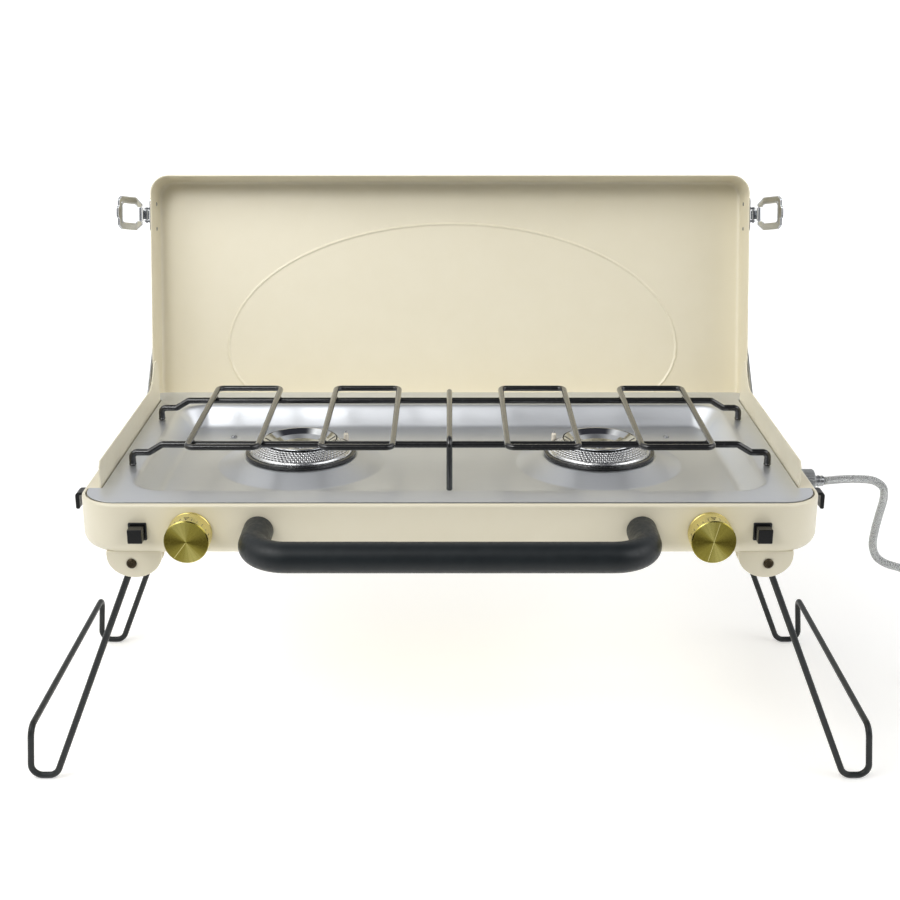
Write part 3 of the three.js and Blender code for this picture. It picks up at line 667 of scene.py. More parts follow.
regulator_shape = merge(
    moved(lathe(flat_profile(disc, 0.8), 56), on_disc),
    moved(stem, on_axis),
    moved(lathe(flat_profile(neck, 0.5), 24), on_axis),
    moved(merge(*lugs), on_disc),
)
nut = prism([(11 * cos(TAU * k / 6), 11 * sin(TAU * k / 6)) for k in range(6)], 102.2, 113)
collar = lathe(flat_profile([(6.2, 113), (9.6, 113), (9.6, 118), (7, 118), (6.2, 113)], 0.4), 32)
regulator = [
    piece("regulator_body", regulator_shape, zinc, "base", "regulator", crease=35),
    piece("regulator_ferrule", moved(ferrule, on_axis), stainless, "base"),
    piece("regulator_nut", moved(merge(nut, collar), on_axis), brass_plain, "base", bevel=0.5),
]


# Base tray: a sheet pan with a rolled rim, a ledge for the cooking plate and holes for what passes through

HALF_W, DEPTH, BASE_H, WALL = 298.5, 331.0, 44.0, 1.2
FILLET, RIM_R, RIM_TOP = 12.0, 2.4, -0.5
KNOB_X, KNOB_Z, IGNITER_X, IGNITER_Z = 206.0, -23.4, 248.0, -22.5
PIVOT_Y, PIVOT_Z = 295, -34.7
INLET_Y, INLET_Z = 104, -16.5


def tray_stations():
    """Right half, from the middle of the front to the middle of the back.

    Each is (wall point, wall's outward way, opening point, opening's outward way).
    """
    out = [((x, 0), (0, -1), (x, 5.5), (0, -1)) for x in (0, 60, 120, 175, 225)]
    for k in range(15):
        a = radians(-90 + 90 * k / 14)
        c, s = cos(a), sin(a)
        out.append(((262.5 + 36 * c, 36 + 36 * s), (c, s), (265 + 29 * c, 34.5 + 29 * s), (c, s)))
    for y, opening in [(38.7, 294)] + [(y, 283.6) for y in (39.3, 70, 104, 150, 200, 250, 299.7)] + [(300.3, 294)]:
        out.append(((HALF_W, y), (1, 0), (opening, y), (1, 0)))
    for c, s in [(cos(a), sin(a)) for a in [radians(90 * k / 10) for k in range(11)]]:
        out.append(((278.5 + 20 * c, 311 + 20 * s), (c, s), (282 + 12 * c, 313.5 + 12 * s), (c, s)))
    return out + [((x, DEPTH), (0, 1), (x, 325.5), (0, 1)) for x in (225, 150, 75, 0)]


def tray_profile():
    """(wall or opening, how far outward, z), from the middle of the underside over the rim to the inside."""
    out = [("wall", -FILLET * (1 - s), -BASE_H + FILLET * (1 - c)) for c, s in quarter(8)]
    out += [("wall", 0, -24), ("wall", 0, -10)]
    out += [("wall", -RIM_R * (1 - c), RIM_TOP - RIM_R + RIM_R * s) for c, s in quarter(5)]
    out += [("open", 1.8, RIM_TOP), ("open", 1.5, RIM_TOP - 0.1), ("open", 1.4, RIM_TOP - 0.4), ("open", 1.4, -3.3)]
    out += [("open", -5.8, -3.4), ("open", -6.2, -3.7), ("open", -6.2, -4.4), ("open", -5.8, -4.6)]
    out += [("wall", -WALL - 2, -4.6), ("wall", -WALL, -6), ("wall", -WALL, -24)]
    r = FILLET - WALL
    return out + [("wall", -WALL - r * (1 - c), -BASE_H + WALL + r * (1 - s)) for c, s in quarter(8)]


def tray_shape():
    half = tray_stations()
    stations = [(s, 1) for s in half] + [(s, -1) for s in reversed(half) if s[0][0] > 1e-6]
    profile = tray_profile()
    points = []
    for (wall, wall_way, opening, opening_way), mirror in stations:
        for kind, grow, z in profile:
            p, way = (wall, wall_way) if kind == "wall" else (opening, opening_way)
            points.append(Vector((mirror * (p[0] + way[0] * grow), p[1] + way[1] * grow, z)))
    n, m = len(stations), len(profile)
    faces = []
    for i in range(n):
        a, b = i * m, ((i + 1) % n) * m
        faces += [(a + k, b + k, b + k + 1, a + k + 1) for k in range(m - 1)]
    faces.append(tuple(i * m for i in reversed(range(n))))
    faces.append(tuple(i * m + m - 1 for i in range(n)))
    return points, faces


tray_holes = []
for _, s in SIDES:
    kx, ix = s * KNOB_X, s * IGNITER_X
    tray_holes.append(cylinder("y", 6, -1, 3, (kx, KNOB_Z)))
    tray_holes.append(block(ix - 6.85, ix + 6.85, -1, 3, IGNITER_Z - 6.85, IGNITER_Z + 6.85))
    tray_holes.append(cylinder("x", 2.6, s * 290, s * 300, (PIVOT_Y, PIVOT_Z), 20))
tray_holes.append(cylinder("x", 5.6, 295, 300, (INLET_Y, INLET_Z)))
piece("tray", tray_shape(), cream, "base", "base_tray", crease=40, holes=tray_holes)

EAR = [
    (41, -1.2), (299, -1.2), (299, 33), (296.5, 38), (291, 42), (284, 42),
    (278, 38), (272.5, 31), (266.5, 25.5), (258, 21.5), (45, 21.5), (41, 17.5),
]
EAR_R = [0, 0, 8, 6, 7, 8, 10, 12, 14, 16, 2, 2]
for side, s in SIDES:
    shape = moved(prism(rounded(EAR, EAR_R), s * 284.6, s * 285.8), YZX)
    piece(f"upstand_{side}", shape, cream, "base", bevel=0.45, crease=50)


# Cooking plate: one formed sheet with a sunk middle and a raised seat round each burner

BURNER_X, BURNER_Y = 133.5, 163.0
RECESS_HALF_X, RECESS_HALF_Y, RECESS_Y, RECESS_CORNER, RECESS_SLOPE, RECESS_D = 260, 124, 158, 28, 14, 20.0
CONE_OUT, CONE_IN, CONE_RISE = 74, 51, 8.5


def eased(t, w):
    """t where it is positive and 0 where it isn't, with a bend of half width w between."""
    if t <= -w:
        return 0.0
    return t if t >= w else (t + w) ** 2 / (4 * w)


def plate_height(x, y):
    dx = abs(x) - (RECESS_HALF_X - RECESS_CORNER)
    dy = abs(y - RECESS_Y) - (RECESS_HALF_Y - RECESS_CORNER)
    outside = hypot(max(dx, 0), max(dy, 0)) + min(max(dx, dy), 0) - RECESS_CORNER
    z = -RECESS_D / RECESS_SLOPE * (eased(-outside, 2.2) - eased(-outside - RECESS_SLOPE, 3.0))
    r = hypot(abs(x) - BURNER_X, y - BURNER_Y)
    return z + CONE_RISE / (CONE_OUT - CONE_IN) * (eased(CONE_OUT - r, 1.6) - eased(CONE_IN - r, 1.2))


def grid_line(*spans):
    """The lines of a grid: each span is (start, end, steps), the next starting where it ends."""
    return [a + (b - a) * k / n for a, b, n in spans for k in range(n)] + [spans[-1][1]]


def nearest(line, value):
    return min(range(len(line)), key=lambda k: abs(line[k] - value))


def plate_object():
    half = 80
    lines_x = grid_line(
        (-266, -226, 24), (-226, -213.5, 3), (-213.5, -53.5, 28), (-53.5, 53.5, 14),
        (53.5, 213.5, 28), (213.5, 226, 3), (226, 266, 24),
    )
    lines_y = grid_line((28, 66, 24), (66, 83, 3), (83, 243, 28), (243, 250, 2), (250, 288, 24))
    last_i, last_j = len(lines_x) - 1, len(lines_y) - 1
    bm = bmesh.new()
    grid = {}

    def vertex(x, y, z=None):
        return bm.verts.new(at((x, y, plate_height(x, y) if z is None else z)))

    def node(i, j):
        if (i, j) not in grid:
            grid[i, j] = vertex(lines_x[i], lines_y[j])
        return grid[i, j]

    def inside(x, y):
        return abs(abs(x) - BURNER_X) < half and abs(y - BURNER_Y) < half

    for i in range(last_i):
        for j in range(last_j):
            if not inside((lines_x[i] + lines_x[i + 1]) / 2, (lines_y[j] + lines_y[j + 1]) / 2):
                bm.faces.new((node(i, j), node(i + 1, j), node(i + 1, j + 1), node(i, j + 1)))
    # Rings of points from each square hole in the grid down to the burner's round one
    radii = [78, 76.2, 75.2, 74.4, 73.6, 72.8, 71.8, 68, 63, 58, 54, 52.4, 51.6, 51, 50.4, 49.6, 48, 46.6]
    layers = [(r, None) for r in radii] + [(46, -12.0), (45.7, -12.8)]
    for _, s in SIDES:
        cx = s * BURNER_X
        i0, i1 = nearest(lines_x, cx - half), nearest(lines_x, cx + half)
        j0, j1 = nearest(lines_y, BURNER_Y - half), nearest(lines_y, BURNER_Y + half)
        rim = [(i, j0) for i in range(i0, i1)] + [(i1, j) for j in range(j0, j1)]
        rim += [(i, j1) for i in range(i1, i0, -1)] + [(i0, j) for j in range(j1, j0, -1)]
        ring = [node(i, j) for i, j in rim]
        angles = [atan2(lines_y[j] - BURNER_Y, lines_x[i] - cx) for i, j in rim]
        for r, z in layers:
            inner = [vertex(cx + r * cos(a), BURNER_Y + r * sin(a), z) for a in angles]
            for k in range(len(ring)):
                m = (k + 1) % len(ring)
                bm.faces.new((ring[k], ring[m], inner[m], inner[k]))
            ring = inner
    # The flat ledge outside the grid
    edges = [bm.edges.get((node(i, j), node(i + 1, j))) for i in range(last_i) for j in (0, last_j)]
    edges += [bm.edges.get((node(i, j), node(i, j + 1))) for j in range(last_j) for i in (0, last_i)]
    right = arc(265, 34.5, 29, -90, 0, 12) + [(294, 39)] + arc(284.8, 40.5, 1.5, -90, -180, 4)
    right += arc(284.8, 298.5, 1.5, 180, 90, 4) + [(294, 300)] + arc(282, 313.5, 12, 0, 90, 8)
    outer = [vertex(x, y, 0) for x, y in right + [(-x, y) for x, y in reversed(right)]]
    edges += [bm.edges.new((outer[k], outer[(k + 1) % len(outer)])) for k in range(len(outer))]
    bmesh.ops.triangle_fill(bm, edges=edges, use_beauty=True, normal=(0, 0, 1))
    bmesh.ops.remove_doubles(bm, verts=bm.verts, dist=1e-6)
    obj = sheet_piece("cooking_plate", bm, plate_metal, 0.001, True, "top_plate")
    obj.modifiers.new("normals", "WEIGHTED_NORMAL").weight = 70


plate_object()
for k, (x, y) in enumerate(((205, 240), (-205, 240), (70, 62), (-70, 62))):
    screw = moved(pan_head(2.9, 1.6), shift(x, y, -19.95))
    piece(f"plate_screw_{k + 1}", screw, screw_steel, "base")


# Grate

RAIL_Y = (96, 230)
RAIL_R, LOOP_R, LOOP_Z, WELD_Z = 2.9, 2.6, 24.8, 22.1
LOOPS = ((-219, -160), (-107.5, -48), (48, 107.5), (160, 219))
CENTRE_X = -0.5


def welds(*places):
    return [ball((x, y, WELD_Z), 2.7, 0.62) for x in places for y in RAIL_Y]


rail_half = [(244, 19), (255.5, 12), (270, 12), (270, 0.4)]
for name, y in zip(("front", "back"), RAIL_Y):
    line = [(-x, y, z) for x, z in reversed(rail_half)] + [(x, y, z) for x, z in rail_half]
    feet = [ball((s * 270, y, 1.9), 3.25, 0.46) for _, s in SIDES]
    shape = merge(tube(bent(line, 4.6, 8), RAIL_R, 20, rounding=0.6), *feet)
    piece(f"rail_{name}", shape, wire_enamel, "grate", f"grate_rail_{name}")
for k, (x0, x1) in enumerate(LOOPS):
    corners = [(x0, 70, LOOP_Z), (x1, 70, LOOP_Z), (x1, 252, LOOP_Z), (x0, 252, LOOP_Z)]
    shape = merge(tube(bent(corners, 6, 8, True), LOOP_R, 20, True), *welds(x0, x1))
    piece(f"pan_loop_{k + 1}", shape, wire_enamel, "grate", f"grate_loop_{k + 1}")
line = bent([(CENTRE_X, 241, LOOP_Z), (CENTRE_X, 89, LOOP_Z), (CENTRE_X, 89, -19.6)], 6, 8)
shape = merge(tube(line, LOOP_R, 20, rounding=1.2), *welds(CENTRE_X))
piece("centre_wire", shape, wire_enamel, "grate", "grate_centre")


# Burners

BAND_LOW, BAND_HIGH = (46.1, -7.35), (33.0, 1.45)
BAND_HOLES, BAND_ROWS, HOLE_R, LOW_MARGIN, HIGH_MARGIN = 72, 5, 0.72, 3.0, 1.6
SPARK_OFF = 53.5 * sqrt(0.5)

SEAT_RING = flat_profile([(43.9, -11.1), (49.5, -11.1), (49.5, -7.8), (43.9, -7.8)], 0.9, 5, True)
# A dark cone inside the flame band, a painted shadow standing for the shade behind the band's holes.
SHADE_CONE = flat_profile([(44.2, -7.2), (31.6, 1.2), (30.8, 1.2), (43.2, -7.2)], 0.1, 2, True)
DISH = flat_profile(
    [
        (0, -5.9), (12, -5.3), (20, -3.9), (27, -0.6), (30.8, 1.9), (33.2, 1.9), (33.8, 2.5), (33, 3.3),
        (31.6, 3.3), (29.6, 1.9), (26, -0.6), (20, -3), (12, -4.4), (6, -4.9), (0, -5),
    ],
    0.5, 3,
)
HUB = flat_profile([(0, -4.4), (3.2, -4.4), (3.2, -5.1), (0, -5.1)], 0.3, 3)
WELL = flat_profile(
    [(0, -41.5), (30, -41.5), (42.9, -30), (42.9, -8.3), (41.5, -8.3), (41.5, -29.4), (29.4, -40), (0, -40)], 1.2, 4
)
ROD = flat_profile([(0, -11.2), (2.25, -11.2), (2.25, -4.6), (1.7, -3.6), (0, -3.6)], 0.4, 3)
SPARK = flat_profile([(0, -3.8), (0.7, -3.8), (0.7, -1.8), (0, -1.6)], 0.2, 2)


def perforated_band(cx, cy):
    """A cone of sheet steel with five rows of round holes, staggered."""
    (r0, z0), (r1, z1) = BAND_LOW, BAND_HIGH
    slant = hypot(r1 - r0, z1 - z0)
    pitch = (slant - LOW_MARGIN - HIGH_MARGIN) / BAND_ROWS
    bm = bmesh.new()

    def point(u, d):
        share = d / slant
        r = r0 + (r1 - r0) * share
        a = TAU * u / BAND_HOLES
        return bm.verts.new(at((cx + r * cos(a), cy + r * sin(a), z0 + (z1 - z0) * share)))

    for row in range(BAND_ROWS):
        middle = LOW_MARGIN + (row + 0.5) * pitch
        width = TAU * (r0 + (r1 - r0) * middle / slant) / BAND_HOLES
        for k in range(BAND_HOLES):
            u = k + 0.5 * (row % 2)
            square, circle = [], []
            for i in range(8):
                c, s = cos(pi / 4 * i), sin(pi / 4 * i)
                scale = 1 / max(abs(c), abs(s))
                square.append(point(u + 0.5 * c * scale, middle + 0.5 * pitch * s * scale))
                circle.append(point(u + HOLE_R * c / width, middle + HOLE_R * s))
            for i in range(8):
                j = (i + 1) % 8
                bm.faces.new((square[i], square[j], circle[j], circle[i]))
    for d0, d1 in ((0, LOW_MARGIN), (slant - HIGH_MARGIN, slant)):
        for k in range(2 * BAND_HOLES):
            a, b = k / 2, (k + 1) / 2
            bm.faces.new([point(a, d0), point(b, d0), point(b, d1), point(a, d1)])
    bmesh.ops.remove_doubles(bm, verts=bm.verts, dist=2e-5)
    return bm


for side, s in SIDES:
    x = s * BURNER_X
    seat, spot = shift(x, BURNER_Y), shift(x - s * SPARK_OFF, BURNER_Y + SPARK_OFF)
    ring = moved(lathe(SEAT_RING, 96, True), seat)
    piece(f"seat_ring_{side}", ring, ring_black, "base", f"burner_ring_{side}")
    band = perforated_band(x, BURNER_Y)
    sheet_piece(f"flame_band_{side}", band, band_steel, 0.0005, False, f"burner_band_{side}")
    # Painted shadow: the dark cone behind the band's holes.
    piece(f"band_liner_{side}", moved(lathe(SHADE_CONE, 64, True), seat), painted_shade_black, "base")
    cap = moved(lathe(DISH, 96), seat)
    piece(f"cap_{side}", cap, cap_chrome, "base", f"burner_cap_{side}", crease=60)
    piece(f"cap_rivet_{side}", moved(lathe(HUB, 24), seat), chrome, "base")
    well = moved(lathe(WELL, 64), seat)
    piece(f"burner_well_{side}", well, cast_dark, "base", f"burner_cup_{side}", crease=50)
    piece(f"spark_rod_{side}", moved(lathe(ROD, 24), spot), ceramic, "base", f"electrode_{side}")
    piece(f"spark_tip_{side}", moved(lathe(SPARK, 12), spot), stainless, "base")


# Knobs and piezo buttons

KNOB_FACE = 21.7
KNOB_OUTLINE = [
    (0, 0), (16.4, 0), (17.4, 0.4), (17.4, 2.4), (16.9, 2.8), (16.9, 3.4), (17.6, 3.8),
    (17.6, 20.9), (16.9, 21.75), (16.3, 21.7), (0, KNOB_FACE),
]
knob_body = lathe(flat_profile(KNOB_OUTLINE, 0.35, 3), 120)
# The pointer's turn, and where its line starts: from the middle on the left knob, right across on the right one, where
# the half above the middle is a painted highlight in pale brass, not a pointer.
POINTER_AND_GLINT_LINES = {"left": (-127, 0.8), "right": (-104, -16.2)}


def knob_marks():
    """Ticks round the knob's side and, in the middle of them, a plain flag for the off place."""
    marks = []
    for k in range(-5, 6):
        spot = turned(90 + k * 15, "Z") @ shift(17.5, 0)
        if k == 0:
            points = [Vector((u, v, z)) for u in (0, 0.17) for z, v in ((15.4, -1.5), (15.4, 1.5), (18.6, 0))]
            flag = (points, [(0, 2, 1), (3, 4, 5), (0, 1, 4, 3), (1, 2, 5, 4), (2, 0, 3, 5)])
            marks += [moved(flag, spot), moved(block(0, 0.17, -2.2, 2.2, 12.6, 13.3), spot)]
        else:
            length = 4.4 if k % 2 else 2.6
            marks.append(moved(block(0, 0.17, -0.28, 0.28, 18.6 - length, 18.6), spot))
    return merge(*marks)


def square_rod(x, h, y0, y1, r):
    outline = rounded([(-h, -h), (h, -h), (h, h), (-h, h)], r, 4)
    return moved(prism(outline, y0, y1), shift(x, 0, IGNITER_Z) @ XZY)


for side, s in SIDES:
    kx, knob = s * KNOB_X, f"knob_{side}"
    front = shift(kx, -0.8, KNOB_Z) @ turned(90, "X")
    brass = spun_brass(f"spun_brass_{side}", (kx, -22.5, KNOB_Z))
    piece(f"knob_cap_{side}", moved(knob_body, front), brass, knob, knob, crease=28)
    turn, start = POINTER_AND_GLINT_LINES[side]
    # On the right knob the line runs right across; its half above the middle is a painted highlight.
    line = moved(block(start, 16.2, -0.26, 0.26, KNOB_FACE - 0.3, KNOB_FACE + 0.05), turned(turn, "Z"))
    piece(f"knob_pointer_{side}", moved(line, front), pointer_and_glint_brass, knob, bevel=0.04, steps=2)
    piece(f"knob_marks_{side}", moved(knob_marks(), front), mark_paint, knob)
    stem = cylinder("y", 2.9, -13.2, 12.8, (kx, KNOB_Z), 24)
    flat = [block(kx - 4, kx + 4, -14, -1, KNOB_Z + 1.8, KNOB_Z + 4)]
    piece(
        f"knob_stem_{side}", stem, stainless, knob, f"valve_stem_{side}", bevel=0.3, holes=flat
    )

    ix, button = s * IGNITER_X, f"igniter_button_{side}"
    bore = [square_rod(ix, 6.1, -3, 12, 0.8)]
    for name, shape, node in (
        ("frame", square_rod(ix, 7.3, -1.7, -0.3, 0.9), ()),
        ("housing", square_rod(ix, 6.6, -0.2, 30, 0.9), f"igniter_body_{side}"),
    ):
        piece(
            f"piezo_{name}_{side}", shape, housing_plastic, "base", node, bevel=0.3, holes=bore
        )
    rod = square_rod(ix, 5.8, -13.5, 5, 0.7)
    piece(f"piezo_button_{side}", rod, black_plastic, button, button, bevel=0.55, steps=4)


# Handle

HANDLE_X, HANDLE_Y, HANDLE_Z, HANDLE_R = 152, -58, -21.5, 12
line = [(x, y, HANDLE_Z) for x, y in ((-HANDLE_X, -0.5), (-HANDLE_X, HANDLE_Y), (HANDLE_X, HANDLE_Y), (HANDLE_X, -0.5))]
handle = tube(bent(line, 36, 16), HANDLE_R, 48, rounding=1.0)
piece("handle_tube", handle, handle_black, "base", "handle")


# Legs and their brackets

LEG_X, LEG_Z, BRACKET_X = 256, -52.5, 254
LEG_ENDS = (16, 284)
LEG_LINE = [(LEG_X, LEG_Z), (335.2, -251.25), (357.2, -251.25), (353.5, -206)]
CHEEKS = (
    ("front", 5.5, 12, 2.4), ("front_inner", 20.6, 22.4, 0.5),
    ("rear_inner", 277.6, 279.4, 0.5), ("rear", 288, 294.5, 2.4),
)
EYE = lathe(flat_profile([(3.5, -2.6), (5.9, -2.6), (5.9, 2.6), (3.5, 2.6)], 0.9, 4, True), 32, True)

for side, s in SIDES:
    cx, px = s * BRACKET_X, s * LEG_X
    half_round = [(cx + 22 * cos(a), -46.5 + 18.3 * sin(a)) for a in [pi + pi * k / 24 for k in range(25)]]
    lobe = [(cx - 22, -41.8)] + half_round + [(cx + 22, -41.8)]
    holes = [cylinder("y", 3.5, 0, 300, (px, LEG_Z), 24)]
    for name, y0, y1, edge in CHEEKS:
        cheek = moved(prism(lobe, y0, y1), XZY)
        piece(
            f"leg_cheek_{name}_{side}", cheek, cream, "base",
            bevel=edge, crease=40, steps=5, holes=holes,
        )
    rail = block(cx - 22, cx + 22, 5.6, 294.4, -45.7, -44.35)
    piece(f"leg_rail_{side}", rail, cream, "base", f"leg_bracket_{side}", bevel=0.4)
    for end, y0, y1, head_y, way in (("front", 4.2, 25, 5.1, -1), ("rear", 275, 295.8, 295.1, 1)):
        shaft = cylinder("y", 3.0, y0, y1, (px, LEG_Z), 24)
        head = moved(pan_head(4.1, 1.65), pointing((px, head_y, LEG_Z), (0, way, 0)))
        screw = merge(shaft, head)
        piece(f"leg_screw_{end}_{side}", screw, screw_dark, "base", f"leg_pin_{end}_{side}", crease=35)
    away = Vector((335.2 - LEG_X, 0, -251.25 - LEG_Z)).normalized() * 5.2
    half = [(LEG_X + away.x, LEG_Z + away.z)] + LEG_LINE[1:]
    line = [(s * x, LEG_ENDS[0], z) for x, z in half] + [(s * x, LEG_ENDS[1], z) for x, z in reversed(half)]
    eyes = [moved(EYE, shift(px, y, LEG_Z) @ turned(90, "X")) for y in LEG_ENDS]
    shape = merge(tube(bent(line, 9.5, 10), 2.75, 20), *eyes)
    piece(f"leg_wire_{side}", shape, leg_black, f"leg_{side}", f"leg_{side}")


# Lid, its arms and latches: made shut, then turned open about the pivots

PIVOT = Vector((0, PIVOT_Y, PIVOT_Z))
OPEN = Matrix.Translation(PIVOT) @ turned(-104, "X") @ Matrix.Translation(-PIVOT)
LID_HALF_W, LID_Y0, LID_Y1, RIM_Z, LID_TOP = 300.2, 37.2, 333.4, 0.5, 46.5
OVAL_X, OVAL_Y = 2.6, 210.0


def opened(shape, s=1):
    """A right-hand shape of the shut lid, on side s, turned open with the lid."""
    return moved(mirrored(shape, s), OPEN)


def lid_outline(inset):
    """The lid's outline, counter-clockwise, with the same count of points at any inset."""
    x, y0, y1 = LID_HALF_W - inset, LID_Y0 + inset, LID_Y1 - inset
    rf, rb = max(18 - inset, 2.5), max(12 - inset, 2.5)
    right_front = arc(x - rf, y0 + rf, rf, -90, 0, 10)
    right_back = arc(x - rb, y1 - rb, rb, 0, 90, 8)
    left_back = [(-px, py) for px, py in reversed(right_back)]
    left_front = [(-px, py) for px, py in reversed(right_front)]
    corners = (right_front, right_back, left_back, left_front)
    out = []
    for i, n in enumerate((16, 34, 16, 34)):
        a, b = corners[i][-1], corners[(i + 1) % 4][0]
        out += corners[i]
        out += [(a[0] + (b[0] - a[0]) * k / n, a[1] + (b[1] - a[1]) * k / n) for k in range(1, n)]
    return out


def lid_shape():
    """The lid as one closed sheet with a hemmed rim and an oval bead pressed into its top."""
    layers = []

    def ring(inset, z):
        layers.append([Vector((x, y, z)) for x, y in lid_outline(inset)])

    def oval(grow, z, share=1.0):
        out = []
        for x, y in lid_outline(0):
            a, b = 232 + grow, (128 if y < OVAL_Y else 104) + grow
            t = atan2((y - OVAL_Y) / b, (x - OVAL_X) / a)
            out.append(Vector((OVAL_X + a * share * cos(t), OVAL_Y + b * share * sin(t), z)))
        layers.append(out)

    bead = [
        (2.2, 0), (1.5, -0.15), (0.85, -0.65), (0.3, -1.05), (-0.3, -1.05), (-0.85, -0.65), (-1.5, -0.15), (-2.2, 0),
    ]
    inner_z = LID_TOP - WALL
    for share in (0.25, 0.55, 0.8, 0.93):
        oval(0, inner_z, share)
    for grow, rise in reversed(bead):
        oval(grow, inner_z + rise)
    ring(WALL + 12, inner_z)
    ring(WALL + 5, inner_z)
    for c, s in quarter(5):
        ring(WALL + 3.6 * (1 - s), inner_z - 3.6 * (1 - c))
    for z in (34, 20, 8):
        ring(WALL, z)
    for a in [pi * k / 4 for k in range(5)]:
        ring(WALL / 2 + WALL / 2 * cos(a), RIM_Z + 0.6 - 0.6 * sin(a))
    for z in (8, 20, 34):
        ring(0, z)
    for c, s in quarter(7):
        ring(6 * (1 - c), LID_TOP - 6 + 6 * s)
    ring(16, LID_TOP)
    for grow, rise in bead:
        oval(grow, LID_TOP + rise)
    for share in (0.93, 0.8, 0.55, 0.25):
        oval(0, LID_TOP, share)
    n, last = len(layers[0]), (len(layers) - 1) * len(layers[0])
    points = [p for layer in layers for p in layer]
    faces = [(a + k, a + (k + 1) % n, a + n + (k + 1) % n, a + n + k) for a in range(0, last, n) for k in range(n)]
    points += [Vector((OVAL_X, OVAL_Y, inner_z)), Vector((OVAL_X, OVAL_Y, LID_TOP))]
    faces += [(k, (k + 1) % n, len(points) - 2) for k in range(n)]
    faces += [(last + k, last + (k + 1) % n, len(points) - 1) for k in range(n)]
    return points, faces


piece("lid_shell", moved(lid_shape(), OPEN), cream, "lid", "lid", crease=70)

LATCH_Y, LATCH_X, LATCH_Z = 76, 305.5, 10
LATCH_COS, LATCH_SIN = cos(radians(-56)), sin(radians(-56))
LEVER_LEN, LOOP_LEN = 8, 30
ARM_LEN, ARM_COS, ARM_SIN = hypot(93, 57), cos(atan2(57, 93)), sin(atan2(57, 93))


def latch_place(start):
    """The matrix from latch space (t along the latch, y across it, n off it) to the shut lid."""
    c, s = LATCH_COS, LATCH_SIN
    x, z = LATCH_X + start * c, LATCH_Z + start * s
    return Matrix(((c, 0, -s, x), (0, 1, 0, LATCH_Y), (s, 0, c, z), (0, 0, 0, 1)))


def on_arm(u, w=0):
    """(y, z) of a point u along the lid's arm and w across it."""
    return PIVOT_Y - (u * ARM_COS - w * ARM_SIN), PIVOT_Z + u * ARM_SIN + w * ARM_COS


def small_rivet(r, h, profile):
    return lathe(flat_profile([(0, h)] + profile + [(r, 0), (0, 0)], 0.2, 3), 20)


strip = arc(0, 0, 7, 90, 270, 14) + arc(ARM_LEN, 0, 7, -90, 90, 14)
arm = moved(prism([on_arm(u, w) for u, w in strip], 300.6, 302.1), YZX)
arm_bore = cylinder("x", 2.6, 299, 304, (PIVOT_Y, PIVOT_Z), 24)
strip_rivet = small_rivet(2.6, 1.1, [(1.6, 0.95), (2.5, 0.35)])
latch_rivet = small_rivet(2.0, 0.9, [(1.3, 0.75), (1.95, 0.25)])

latch_back = moved(prism(rounded([(59, 5), (93, 5), (93, 33), (59, 33)], 3), 300.5, 301.9), YZX)
ear_outline = rounded(
    [(301.7, LATCH_Z - 3.2), (LATCH_X + 2.6, LATCH_Z - 2.6), (LATCH_X + 2.6, LATCH_Z + 2.6), (301.7, LATCH_Z + 6.5)],
    [0, 2.4, 2.4, 0],
)
latch_ears = [moved(prism(ear_outline, y0, y1), XZY) for y0, y1 in ((68.5, 70.9), (81.1, 83.5))]
latch_pin = cylinder("y", 1.1, LATCH_Y - 8.2, LATCH_Y + 8.2, (LATCH_X, LATCH_Z), 16)
lever = merge(
    cylinder("y", 2.45, -4.5, 4.5, (0, 0), 28),
    cylinder("y", 2.35, -6.5, 6.5, (LEVER_LEN, 0), 28),
    block(0.5, LEVER_LEN - 0.5, -4.5, 4.5, -1.0, 1.0),
)
loop_half = [
    (-1.2, 7.2), (-1.2, 9.6), (7, 15.8), (LOOP_LEN - 3.5, 15.8),
    (LOOP_LEN - 0.2, 12.5), (LOOP_LEN - 0.2, 6), (LOOP_LEN + 1.5, 4.8),
]
loop_edge = rounded(loop_half + [(t, -y) for t, y in reversed(loop_half)], 2.2, 4)
window = rounded([(5.5, -9.4), (LOOP_LEN - 4.6, -9.4), (LOOP_LEN - 4.6, 9.4), (5.5, 9.4)], 2.6)
loop_cuts = [prism(window, -3, 3), block(-5, 6.2, -7, 7, -3, 3)]
window_half = [(6.3, 10.2), (6.9, 10.3), (LOOP_LEN - 4.4, 10.3), (LOOP_LEN - 3.8, 9.6)]
window_edge = [(t, -y) for t, y in window_half] + window_half[::-1]
borders = []
for n in (-0.85, 0.85):
    borders.append(tube([(t, y, n) for t, y in loop_edge[2:-2]], 0.55, 10))
    borders.append(tube(bent([(t, y, n) for t, y in window_edge], 0.5, 3), 0.5, 10))
lip_line = [(LOOP_LEN + 0.3, y, 0.6 + 0.9 * cos(pi * y / 9.6)) for y in [-4.6 + 9.2 * k / 8 for k in range(9)]]
loop_hinge = merge(cylinder("y", 1.1, -8.6, 8.6, (0, 0), 16), tube(lip_line, 1.1, 14, rounding=0.5))

keeper_plate = rounded([(65.2, -32.8), (86.8, -32.8), (86.8, -11.2), (65.2, -11.2)], 2.4)
hook = flat_profile(
    [(299.6, -17.1), (299.6, -14.9), (314.3, -14.9), (314.3, -29.4), (310.9, -29.4), (310.9, -17.1)],
    [0, 0, 3.2, 1.2, 1.2, 1.4], 5, True,
)
keeper = merge(moved(prism(keeper_plate, 298.9, 300.1), YZX), moved(prism(hook, 69.1, 82.9), XZY))

